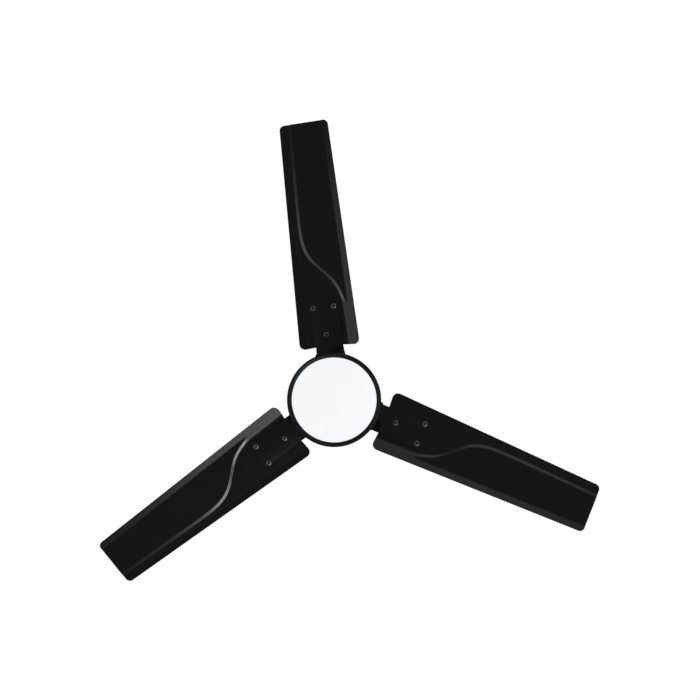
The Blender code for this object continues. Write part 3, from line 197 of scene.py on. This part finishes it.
def turn_on_lathe(name, rings, closed=True, segments=128):
    """Pull a circle out ring by ring; a closed profile comes back to its first ring."""
    bpy.ops.object.select_all(action="DESELECT")
    radius, height = rings[0]
    bpy.ops.mesh.primitive_circle_add(vertices=segments, radius=radius, location=(0, 0, height))
    piece = bpy.context.object
    piece.name = name
    bpy.ops.object.transform_apply(location=True, rotation=True, scale=True)
    bpy.ops.object.mode_set(mode="EDIT")
    bpy.ops.mesh.select_all(action="SELECT")
    if not closed:
        bpy.ops.mesh.extrude_region_move()
        bpy.ops.mesh.merge(type="CENTER")
        bpy.ops.object.mode_set(mode="OBJECT")
        for vertex in piece.data.vertices:
            vertex.select = vertex.co.xy.length > radius / 2
        bpy.ops.object.mode_set(mode="EDIT")
    for reach, level in (rings[1:] + rings[:1] if closed else rings[1:]):
        bpy.ops.mesh.extrude_region_move(TRANSFORM_OT_translate={"value": (0, 0, level - height)})
        bpy.ops.transform.resize(value=(reach / radius, reach / radius, 1),
                                 center_override=(0, 0, level))
        radius, height = reach, level
    if not closed:
        bpy.ops.mesh.extrude_region_move()
        bpy.ops.mesh.merge(type="CENTER")
    bpy.ops.mesh.select_all(action="SELECT")
    bpy.ops.mesh.remove_doubles(threshold=0.00001)
    bpy.ops.mesh.normals_make_consistent(inside=False)
    bpy.ops.object.mode_set(mode="OBJECT")
    return piece


def pick(piece):
    """Select one piece alone."""
    bpy.ops.object.select_all(action="DESELECT")
    piece.select_set(True)
    bpy.context.view_layer.objects.active = piece


def work_in(piece, tool, operation):
    """Cut a tool out of a piece, or join it on."""
    boolean = piece.modifiers.new("boolean", "BOOLEAN")
    boolean.object = tool
    boolean.operation = operation
    boolean.solver = "EXACT"
    pick(piece)
    bpy.ops.object.modifier_apply(modifier=boolean.name)
    bpy.data.objects.remove(tool)


def drill(piece, radius, depth, place, turn):
    """Bore a round hole, centred on a place and turned from upright."""
    bpy.ops.object.select_all(action="DESELECT")
    bpy.ops.mesh.primitive_cylinder_add(vertices=48, radius=radius, depth=depth, location=place,
                                        rotation=turn)
    work_in(piece, bpy.context.object, "DIFFERENCE")


def soften_edges(piece, width, segments=3, angle=40):
    """Round the sharp edges over and shade the rest smooth."""
    bevel = piece.modifiers.new("edge", "BEVEL")
    bevel.width = width
    bevel.segments = segments
    bevel.limit_method = "ANGLE"
    bevel.angle_limit = math.radians(angle)
    pick(piece)
    bpy.ops.object.modifier_apply(modifier=bevel.name)
    bpy.ops.object.shade_smooth_by_angle(angle=math.radians(angle))


def fit(piece, body, nodes, made):
    """Finish a piece, hang it on its body and let it stand for its nodes."""
    piece.data.materials.clear()
    piece.data.materials.append(made)
    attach(piece, body)
    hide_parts(*nodes)


across = math.radians(90)
low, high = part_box("downrod")
downrod = turn_on_lathe("downrod_tube", [(8.5 * MM, low.z), (10.5 * MM, low.z),
                                         (10.5 * MM, high.z), (8.5 * MM, high.z)], segments=96)
soften_edges(downrod, 0.4 * MM, 2)
drill(downrod, 7 * MM, 30 * MM, (0, 0, -34 * MM), (0, across, 0))
drill(downrod, 3.3 * MM, 30 * MM, (0, 0, low.z + 20 * MM), (0, across, 0))
drill(downrod, 6 * MM, 20 * MM, (0, 10 * MM, -58 * MM), (across, 0, 0))
bpy.ops.object.shade_smooth_by_angle(angle=math.radians(40))
fit(downrod, "drop", ["downrod"], satin_black("downrod_paint"))


# ---------------------------------------------------------------- coupler and its bolt
# Turned steel sleeve, zinc plated, that joins the downrod to the motor's hollow shaft.
# One bolt goes through the sleeve and the rod, clear of the lead inside.
low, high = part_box("coupler")
coupler = turn_on_lathe("coupler_sleeve", [
    (8.3 * MM, low.z), (15 * MM, low.z), (15 * MM, high.z), (10.8 * MM, high.z),
    (10.8 * MM, high.z - 31.3 * MM), (8.3 * MM, high.z - 31.3 * MM)], segments=96)
soften_edges(coupler, 0.6 * MM)
drill(coupler, 3.3 * MM, 40 * MM, (0, 0, high.z - 11 * MM), (0, across, 0))
bpy.ops.object.shade_smooth_by_angle(angle=math.radians(40))
fit(coupler, "drop", ["coupler"], zinc_plate("coupler_zinc"))
give("coupler_bolt", zinc_plate("coupler_bolt_zinc"))
give("coupler_nut", zinc_plate("coupler_nut_zinc"))


# ---------------------------------------------------------------- canopies
# Two spun steel bells in the same satin black. The upper one hides the bracket and wiring,
# the lower one the coupler; each slides on the rod and is held by a grub screw in its neck.
def bell_rings(neck_end, rim, rim_radius):
    """Rings of a bell from its neck's end to its rim and back along the inside."""
    direction = 1 if rim > neck_end else -1
    bore = 11.3 * MM
    neck = 15.3 * MM
    sheet = 1.5 * MM
    base = neck_end + direction * 12 * MM
    depth = abs(rim - base)
    outside = []
    inside = []
    steps = 22
    for step in range(1, steps + 1):
        turn = math.radians(90) * step / steps
        outside.append((neck + (rim_radius - neck) * math.sin(turn),
                        base + direction * depth * (1 - math.cos(turn))))
        inside.append((neck + (rim_radius - sheet - neck) * math.sin(turn),
                       base + direction * (depth - (depth - sheet) * math.cos(turn))))
    return [(bore, neck_end), (neck, neck_end), (neck, base), *outside, *reversed(inside),
            (bore, base + direction * sheet)]


for which in ("upper", "lower"):
    low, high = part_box(f"{which}_canopy")
    neck_end, rim = (low.z, high.z) if which == "upper" else (high.z, low.z)
    bell = turn_on_lathe(f"{which}_canopy_bell", bell_rings(neck_end, rim, high.x))
    soften_edges(bell, 0.5 * MM)
    grub_height = neck_end + (6 if which == "upper" else -6) * MM
    grub_side = sum(corner.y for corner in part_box(f"{which}_canopy_screw")) / 2
    drill(bell, 2.2 * MM, 9 * MM, (0, grub_side, grub_height), (across, 0, 0))
    bpy.ops.object.shade_smooth_by_angle(angle=math.radians(40))
    fit(bell, f"{which}_canopy", [f"{which}_canopy"],
        satin_black(f"{which}_canopy_paint"))
    give(f"{which}_canopy_screw", zinc_plate(f"{which}_grub_zinc"))


# ---------------------------------------------------------------- motor, standing side
# Hollow steel shaft with a laminated twelve-tooth core, enamelled copper windings and a
# ring-shaped controller board; ball bearings carry the turning shell on the shaft.
def layered(made, spacing, wide, axis="Z"):
    """Press fine parallel lines into a finish, as of stacked sheet or wound wire."""
    nodes = made.node_tree.nodes
    links = made.node_tree.links
    place = nodes.new("ShaderNodeTexCoord")
    lines = nodes.new("ShaderNodeTexWave")
    lines.bands_direction = axis
    lines.inputs["Scale"].default_value = 1 / spacing / 20 * math.pi / 10
    lines.inputs["Distortion"].default_value = 0.3
    links.new(place.outputs["Object"], lines.inputs["Vector"])
    bump = nodes.new("ShaderNodeBump")
    bump.inputs["Strength"].default_value = wide
    bump.inputs["Distance"].default_value = 0.3 * MM
    links.new(lines.outputs["Fac"], bump.inputs["Height"])
    links.new(bump.outputs["Normal"], nodes["Principled BSDF"].inputs["Normal"])
    return made


def turned_steel(name):
    return finish(name, (0.36, 0.36, 0.37), (0.52, 0.52, 0.53), (0.2, 0.34), 1.0, 30, (1, 1, 40),
                  0.1)


give("motor_shaft", turned_steel("shaft_steel"))
give("stator_core", layered(finish("lamination_steel", (0.16, 0.16, 0.17), (0.26, 0.26, 0.27),
                                   (0.4, 0.55), 0.9, 60), 0.5 * MM, 0.5))
give("stator_winding", layered(finish("enamelled_copper", (0.42, 0.13, 0.04), (0.66, 0.25, 0.09),
                                      (0.22, 0.36), 0.85, 45), 0.7 * MM, 0.8))
give("controller_board", finish("board_green", (0.010, 0.09, 0.035), (0.025, 0.17, 0.07),
                                (0.3, 0.5), 0.0, 120, pitted=0.3))
for which in ("upper", "lower"):
    for ring in ("inner_race", "outer_race", "balls"):
        give(f"{which}_bearing_{ring}", turned_steel(f"{which}_{ring}_steel"))
give("magnet_ring", finish("magnet_grey", (0.035, 0.035, 0.038), (0.085, 0.085, 0.09), (0.5, 0.7),
                           0.2, 80, pitted=0.4))


# ---------------------------------------------------------------- motor covers
# Two cast aluminium shells in satin black, clamped together at three pairs of lugs by the
# screws of the blade brackets. Each holds a bearing in a seat at its middle.
def cover_rings(face, edge, rim_radius=78 * MM):
    """Rings of a cover from its shaft hole over the outside to its edge and back inside."""
    direction = 1 if edge > face else -1
    round_over = 9 * MM
    wall = 3 * MM
    outside = []
    inside = []
    steps = 8
    for step in range(steps + 1):
        turn = math.radians(90) * step / steps
        pull = round_over * (1 - math.sin(turn))
        rise = round_over * (1 - math.cos(turn))
        share = (round_over - wall) / round_over
        outside.append((rim_radius - pull, face + direction * rise))
        inside.append((rim_radius - wall - pull * share, face + direction * (wall + rise * share)))
    seat = 16.3 * MM
    return [(9 * MM, face), *outside, (rim_radius, edge), (rim_radius - wall, edge),
            *reversed(inside), (seat + 4 * MM, face + direction * wall),
            (seat + 4 * MM, face + direction * 12.3 * MM), (seat, face + direction * 12.3 * MM),
            (seat, face + direction * wall), (9 * MM, face + direction * wall)]


lug_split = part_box("motor_bottom_cover")[1].z
for which in ("top", "bottom"):
    low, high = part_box(f"motor_{which}_cover")
    face, edge = (high.z, low.z) if which == "top" else (low.z, high.z)
    cover = turn_on_lathe(f"motor_{which}_shell", cover_rings(face, edge), segments=144)
    lug_middle = edge + (2 if which == "top" else -2) * MM
    for number in range(3):
        turn = math.radians(-90 + 120 * number)
        outwards = Vector((math.cos(turn), math.sin(turn), 0))
        bpy.ops.object.select_all(action="DESELECT")
        bpy.ops.mesh.primitive_cube_add(size=1, location=outwards * 87.25 * MM
                                        + Vector((0, 0, lug_middle)), rotation=(0, 0, turn),
                                        scale=(21.5 * MM, 64 * MM, 4 * MM))
        work_in(cover, bpy.context.object, "UNION")
        for side in (-19, 19):
            spot = outwards * 89 * MM + Vector((-outwards.y, outwards.x, 0)) * side * MM
            drill(cover, 2.7 * MM, 12 * MM, spot + Vector((0, 0, lug_middle)), (0, 0, 0))
    soften_edges(cover, 0.5 * MM, 2, 50)
    fit(cover, "rotor", [f"motor_{which}_cover"],
        satin_black(f"motor_{which}_paint"))


# ---------------------------------------------------------------- blade brackets
# Flat strips of 3 mm steel, black, level where two screws clamp them under the motor's lugs.
# Beyond the lugs each is twisted to the blade's pitch, and its far corners are rounded.
pitch = math.radians(9)
arm_level = (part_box("bracket_1_screw_1")[0].z + 3 * MM) + 0.3 * MM + 1.5 * MM


def select_beyond(piece, x):
    """In edit mode, select only what lies at x or further out."""
    bpy.ops.object.mode_set(mode="OBJECT")
    for vertex in piece.data.vertices:
        vertex.select = vertex.co.x >= x - 0.01 * MM
    for edge in piece.data.edges:
        edge.select = all(piece.data.vertices[end].select for end in edge.vertices)
    for face in piece.data.polygons:
        face.select = False
    bpy.ops.object.mode_set(mode="EDIT")


def hang_on_motor(piece, number, tilt):
    """Turn a piece made along +X to a blade's place round the motor, with its pitch."""
    piece.rotation_euler = (-tilt, 0, math.radians(-90 + 120 * (number - 1)))
    piece.location = (0, 0, arm_level)
    pick(piece)
    bpy.ops.object.transform_apply(location=True, rotation=True, scale=True)


for number in (1, 2, 3):
    bpy.ops.object.select_all(action="DESELECT")
    bpy.ops.mesh.primitive_plane_add(size=1, location=(90 * MM, 1 * MM, 0))
    bracket = bpy.context.object
    bracket.scale = (18 * MM, 60 * MM, 1)
    bracket.name = f"bracket_strip_{number}"
    bpy.ops.object.transform_apply(location=True, rotation=True, scale=True)
    bpy.ops.object.mode_set(mode="EDIT")
    bpy.ops.mesh.select_mode(type="VERT")
    select_beyond(bracket, 99 * MM)
    twists = 10
    for step in range(twists):
        bpy.ops.mesh.extrude_region_move(TRANSFORM_OT_translate={"value": (1.25 * MM, 0, 0)})
        bpy.ops.transform.rotate(value=pitch / twists, orient_axis="X",
                                 center_override=(0, 0, 0))
    bpy.ops.mesh.extrude_region_move(TRANSFORM_OT_translate={"value": (91.5 * MM, 0, 0)})
    half_width = 30 * MM
    half = half_width
    out = 0
    corner = 8 * MM
    middle = (0, 1 * MM * math.cos(pitch), -1 * MM * math.sin(pitch))
    steps = 8
    for step in range(1, steps + 1):
        turn = math.radians(90) * step / steps
        reach = corner * math.sin(turn)
        narrowed = half_width - corner * (1 - math.cos(turn))
        bpy.ops.mesh.extrude_region_move(TRANSFORM_OT_translate={"value": (reach - out, 0, 0)})
        bpy.ops.transform.resize(value=(1, narrowed / half, narrowed / half),
                                 center_override=middle)
        half, out = narrowed, reach
    bpy.ops.object.mode_set(mode="OBJECT")
    thickness = bracket.modifiers.new("sheet", "SOLIDIFY")
    thickness.thickness = 3 * MM
    thickness.offset = 0
    pick(bracket)
    bpy.ops.object.modifier_apply(modifier=thickness.name)
    soften_edges(bracket, 1.2 * MM, 3, 50)
    hang_on_motor(bracket, number, 0)
    fit(bracket, "rotor", [f"blade_bracket_{number}"],
        satin_black(f"bracket_paint_{number}"))


# ---------------------------------------------------------------- blades
# Each blade is one pressing of thin steel sheet, painted before fixing. The rib that starts in
# the wide trailing strip sweeps across to the leading edge; beyond it the panel lies lower.
root, tip = 110 * MM, 594 * MM
root_lead, tip_lead = 65 * MM, 53 * MM
root_trail, tip_trail = 66.8 * MM, 53.5 * MM
root_corner, tip_corner = 14 * MM, 10.5 * MM
root_hollow = 5 * MM
root_lead_strip, tip_lead_strip = 13.6 * MM, 8.8 * MM
lead_strip_drop = 2 * MM
root_trail_strip, trail_strip = 26 * MM, 15.2 * MM
trail_strip_drop = 5.8 * MM
rib_middle, rib_sweep = root + 167 * MM, 42 * MM
rib_start, rib_parting = 0.025, 0.04
rib_inside_lead = 19.3 * MM
joined_width, rib_width = 10 * MM, 6.6 * MM
joined_drop, rib_drop = 2.23 * MM, 2.4 * MM
swage_height, swage_width = 0.3 * MM, 2.2 * MM
arm_sheet = 3 * MM
blade_sheet = 1.2 * MM


def between(first, second, share):
    return first + (second - first) * share


def corner_pull(distance, radius):
    """How far a rounded corner draws the side in, at a distance from the blade's end."""
    if distance >= radius:
        return 0
    return radius - math.sqrt(max(0, radius ** 2 - (radius - distance) ** 2))


def blade_creases(x):
    """Across the blade at x: place and height of its edges and creases, leading edge first."""
    along = (x - root) / (tip - root)
    lead = -between(root_lead, tip_lead, along)
    trail = between(root_trail, tip_trail, along)
    curve = (1 + math.tanh((x - rib_middle) / rib_sweep)) / 2
    swept = max(0, curve - rib_start) / (1 - rib_start)
    parted = min(1, swept / rib_parting)
    rib = between(trail - root_trail_strip, lead + rib_inside_lead, swept)
    rib_foot = rib + between(joined_width, rib_width, parted)
    return [(lead, -lead_strip_drop),
            (lead + between(root_lead_strip, tip_lead_strip, along), 0), (rib, 0),
            (rib_foot, -between(joined_drop, rib_drop, parted)),
            (trail - trail_strip, -rib_drop), (trail, -trail_strip_drop)]


def bent_height(creases, y):
    """Height of the bent sheet at y, straight between its creases."""
    for (y0, z0), (y1, z1) in zip(creases, creases[1:]):
        if y <= y1 or y1 == creases[-1][0]:
            return between(z0, z1, (y - y0) / (y1 - y0))
    return 0


def pressed_height(creases, y):
    """Height at y with the creases rounded, and a faint swage along the leading strip."""
    steps = 7
    offsets = [(step - steps // 2) * 0.5 * MM for step in range(steps)]
    level = sum(bent_height(creases, y + offset) for offset in offsets) / steps
    swage = (y - creases[1][0] - 0.5 * MM) / swage_width
    return level + swage_height * math.exp(-swage ** 2)


def blade_rows():
    """Places along the blade: close together at its ends."""
    ends = 9
    arc = [1 - math.cos(math.radians(90) * step / ends) for step in range(ends)]
    middle = 150
    first, last = root + root_corner, tip - tip_corner
    return ([root + root_corner * share for share in arc]
            + [between(first, last, step / middle) for step in range(middle + 1)]
            + [tip - tip_corner * share for share in reversed(arc)])


def blade_columns(creases, lead, trail):
    """Places across the blade: close together at each crease."""
    columns = []
    for (y0, _), (y1, _) in zip(creases, creases[1:]):
        near = min(0.25, 2.7 * MM / (y1 - y0))
        shares = (0, near / 3, near * 2 / 3, near, 0.3, 0.5, 0.7, 1 - near, 1 - near * 2 / 3,
                  1 - near / 3)
        columns += [between(y0, y1, share) for share in shares]
    columns.append(creases[-1][0])
    last = len(columns) - 1
    space = 0.05 * MM
    return [max(lead + number * space, min(trail - (last - number) * space, y))
            for number, y in enumerate(columns)]


def press_blade(name):
    """One blade, lying along +X, its upper side towards +Z."""
    rows = blade_rows()
    across_count = len(blade_columns(blade_creases(root), -1, 1))
    bpy.ops.object.select_all(action="DESELECT")
    bpy.ops.mesh.primitive_grid_add(x_subdivisions=len(rows) - 1,
                                    y_subdivisions=across_count - 1, size=1)
    sheet = bpy.context.object
    sheet.name = name
    for row, x in enumerate(rows):
        creases = blade_creases(x)
        pull = corner_pull(x - root, root_corner) + corner_pull(tip - x, tip_corner)
        fade = max(0, 1 - (x - root) / (2 * root_corner))
        columns = blade_columns(creases, creases[0][0] + pull, creases[-1][0] - pull)
        for column, y in enumerate(columns):
            back = root_hollow * max(0, 1 - abs(y) / root_lead) * fade
            sheet.data.vertices[column * len(rows) + row].co = (
                x + back, y, arm_sheet / 2 + 0.3 * MM + pressed_height(creases, y))
    thickness = sheet.modifiers.new("sheet", "SOLIDIFY")
    thickness.thickness = blade_sheet
    thickness.offset = 1
    bpy.ops.object.modifier_apply(modifier=thickness.name)
    soften_edges(sheet, 0.35 * MM, 2, 50)
    return sheet


for number in (1, 2, 3):
    blade = press_blade(f"blade_pressing_{number}")
    hang_on_motor(blade, number, pitch)
    fit(blade, "rotor", [f"blade_{number}"], satin_black(f"blade_paint_{number}"))


# ---------------------------------------------------------------- screws of blades and brackets
# Pan-head machine screws with a cross recess, zinc plated and dulled. Three hold each blade on
# its bracket, and two clamp each bracket under the motor's lugs.
def cross_screw(name, head_radius, head_height, shank_radius, shank_top, head_top):
    """A screw standing on z, its rounded head below head_top and its shank above."""
    bottom = head_top - head_height
    crown = [(head_radius * (0.30 + 0.70 * math.sin(turn)),
              bottom + head_height * 0.72 * (1 - math.cos(turn)))
             for turn in (math.radians(90) * step / 8 for step in range(9))]
    screw = turn_on_lathe(name, [*crown, (head_radius, head_top), (shank_radius, head_top),
                                 (shank_radius, shank_top)], closed=False, segments=40)
    drill(screw, head_radius * 0.27, head_height * 1.8, (0, 0, bottom), (0, 0, 0))
    for turn in (0, across):
        bpy.ops.object.select_all(action="DESELECT")
        bpy.ops.mesh.primitive_cube_add(size=1, location=(0, 0, bottom), rotation=(0, 0, turn),
                                        scale=(head_radius, head_radius * 0.27,
                                               head_height * 1.3))
        work_in(screw, bpy.context.object, "DIFFERENCE")
    bpy.ops.object.shade_smooth_by_angle(angle=math.radians(35))
    # Painted shade: the deep part of the cross recess is marked, and the shader paints it near
    # black.
    recess_shade = screw.data.attributes.new("recess", "FLOAT", "POINT")
    for vertex, mark in zip(screw.data.vertices, recess_shade.data):
        sunk = bottom + 0.4 * MM < vertex.co.z < head_top
        mark.value = 1.0 if sunk and vertex.co.xy.length < head_radius * 0.55 else 0.0
    return screw


def screw_steel(name):
    """Dull zinc, with painted shade in the cross recess."""
    made = finish(name, (0.24, 0.235, 0.22), (0.38, 0.37, 0.35), (0.42, 0.55), 1.0, 220,
                  pitted=0.2)
    nodes = made.node_tree.nodes
    links = made.node_tree.links
    shader = nodes["Principled BSDF"]
    zinc = shader.inputs["Base Color"].links[0].from_socket
    recess = nodes.new("ShaderNodeAttribute")
    recess.attribute_name = "recess"
    # Painted shade: where the recess is marked, the zinc colour is mixed to near black.
    shaded_recess = nodes.new("ShaderNodeMix")
    shaded_recess.data_type = "RGBA"
    shaded_recess.inputs[7].default_value = (0.004, 0.004, 0.004, 1)
    links.new(recess.outputs["Fac"], shaded_recess.inputs[0])
    links.new(zinc, shaded_recess.inputs[6])
    links.new(shaded_recess.outputs[2], shader.inputs["Base Color"])
    return made


plate_under = -1.8 * MM
blade_screw = cross_screw("blade_screw_pattern", 6 * MM, 2.8 * MM, 2.5 * MM, 6.0 * MM, plate_under)
bracket_screw = cross_screw("bracket_screw_pattern", 4.6 * MM, 3 * MM, 2.4 * MM, 11.1 * MM,
                            plate_under)
blade_screw_places = ((138, -3), (197, -25.5), (197, 19.5))
bracket_screw_places = ((89, -19), (89, 19))
for number in (1, 2, 3):
    for pattern, kind, tilt, places in (
            (blade_screw, f"blade_{number}_screw", pitch, blade_screw_places),
            (bracket_screw, f"bracket_{number}_screw", 0, bracket_screw_places)):
        for place_number, (x, y) in enumerate(places, start=1):
            node = f"{kind}_{place_number}"
            screw = bpy.data.objects.new(node + "_head", pattern.data.copy())
            bpy.context.scene.collection.objects.link(screw)
            pick(screw)
            screw.rotation_euler = (0, 0, 0.7 * place_number + number)
            bpy.ops.object.transform_apply(location=True, rotation=True, scale=True)
            screw.location = (x * MM, y * MM, 0)
            bpy.ops.object.transform_apply(location=True, rotation=True, scale=True)
            hang_on_motor(screw, number, tilt)
            fit(screw, "rotor", [node], screw_steel(node + "_steel"))
bpy.data.objects.remove(blade_screw)
bpy.data.objects.remove(bracket_screw)


# ---------------------------------------------------------------- light housing
# Shallow moulded pan in black plastic, clamped on the shaft's end by a nut. It stands still
# while the blades turn, and carries the aluminium plate with the LED board and its driver.
def black_plastic(name):
    """Moulded plastic with a fine spark-eroded grain."""
    return finish(name, (0.004, 0.004, 0.0046), (0.007, 0.007, 0.0078), (0.38, 0.5), grain=70,
                  pitted=0.25)


low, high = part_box("light_housing")
pan = turn_on_lathe("light_pan", [
    (8.3 * MM, high.z - 2 * MM), (70 * MM, high.z - 2 * MM), (90 * MM, high.z - 15 * MM),
    (90 * MM, low.z), (92 * MM, low.z), (92 * MM, high.z - 14 * MM), (72 * MM, high.z),
    (8.3 * MM, high.z)], segments=144)
soften_edges(pan, 2.5 * MM, 4, 25)
screw_height = sum(corner.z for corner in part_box("bezel_screw_1")) / 2
for number in range(3):
    turn = math.radians(120 * number)
    spot = (91 * MM * math.cos(turn), 91 * MM * math.sin(turn), screw_height)
    drill(pan, 1.7 * MM, 8 * MM, spot, (0, across, turn))
bpy.ops.object.shade_smooth_by_angle(angle=math.radians(35))
fit(pan, "drop", ["light_housing"], black_plastic("pan_plastic"))
give("light_housing_nut", zinc_plate("housing_nut_zinc"))
give("light_carrier", finish("carrier_aluminium", (0.5, 0.5, 0.51), (0.68, 0.68, 0.7),
                             (0.28, 0.42), 1.0, 40, (1, 30, 1), 0.2))
give("led_board", finish("led_board_white", (0.72, 0.72, 0.70), (0.86, 0.86, 0.85), (0.4, 0.55),
                         0.0, 150, pitted=0.1))
give("led_driver", finish("driver_case", (0.62, 0.62, 0.60), (0.72, 0.72, 0.70), (0.4, 0.55),
                          0.0, 60, pitted=0.2))


# ---------------------------------------------------------------- bezel
# Moulded black ring that holds the diffuser against the pan: a flat outer band, a narrow step,
# and an inner band that falls away to the window. Three small screws go in through its skirt.
low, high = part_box("light_bezel")
outer = high.x
face = low.z
bezel = turn_on_lathe("bezel_ring", [
    (87.9 * MM, face + 1.8 * MM), (90.1 * MM, face + 1.15 * MM), (92.3 * MM, face + 0.55 * MM),
    (92.9 * MM, face + 0.1 * MM), (93.5 * MM, face), (96 * MM, face + 0.15 * MM),
    (97 * MM, face + 0.7 * MM), (outer, face + 1.5 * MM), (outer, face + 4 * MM),
    (94 * MM, face + 4 * MM), (94 * MM, high.z), (92.3 * MM, high.z), (92.3 * MM, face + 4 * MM),
    (87.9 * MM, face + 4 * MM)], segments=180)
for number in range(3):
    turn = math.radians(120 * number)
    spot = (93.2 * MM * math.cos(turn), 93.2 * MM * math.sin(turn), screw_height)
    drill(bezel, 1.7 * MM, 3.4 * MM, spot, (0, across, turn))
soften_edges(bezel, 0.3 * MM, 2, 30)
fit(bezel, "drop", ["light_bezel"], black_plastic("bezel_plastic"))
for number in (1, 2, 3):
    give(f"bezel_screw_{number}", zinc_plate(f"bezel_screw_zinc_{number}"))


# ---------------------------------------------------------------- diffuser
# Shallow dome of opal acrylic, satin outside, gripped by its rim between the pan and the bezel.
# Lit evenly from behind, it glows a cool white.
low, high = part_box("light_diffuser")
window = 87.6 * MM
rise = 2 * MM
dome = [(window * math.sin(turn), low.z + rise * math.sin(turn) ** 2)
        for turn in (math.radians(90) * step / 16 for step in range(1, 17))]
diffuser = turn_on_lathe("opal_diffuser", [
    *dome, (window, high.z - 2 * MM), (90 * MM, high.z - 2 * MM), (90 * MM, high.z)],
    closed=False, segments=144)
soften_edges(diffuser, 0.3 * MM, 2, 50)
opal = finish("opal_acrylic", (0.84, 0.86, 0.88), (0.88, 0.90, 0.92), (0.36, 0.46), grain=30,
              pitted=0.04)
opal_shader = opal.node_tree.nodes["Principled BSDF"]
opal_shader.inputs["Emission Color"].default_value = (0.972, 0.982, 1, 1)
opal_shader.inputs["Emission Strength"].default_value = 0.34
fit(diffuser, "drop", ["light_diffuser"], opal)


# ---------------------------------------------------------------- lead
# Black sheathed lead from the connector block in the upper canopy, through the hole in the rod
# and down the hollow shaft to the LED driver.
give("inner_lead", finish("lead_sheath", (0.010, 0.010, 0.010), (0.022, 0.022, 0.022),
                          (0.45, 0.6), grain=120, pitted=0.2))
give("connector_block", finish("connector_white", (0.68, 0.68, 0.65), (0.8, 0.8, 0.77),
                               (0.4, 0.55), grain=90, pitted=0.15))
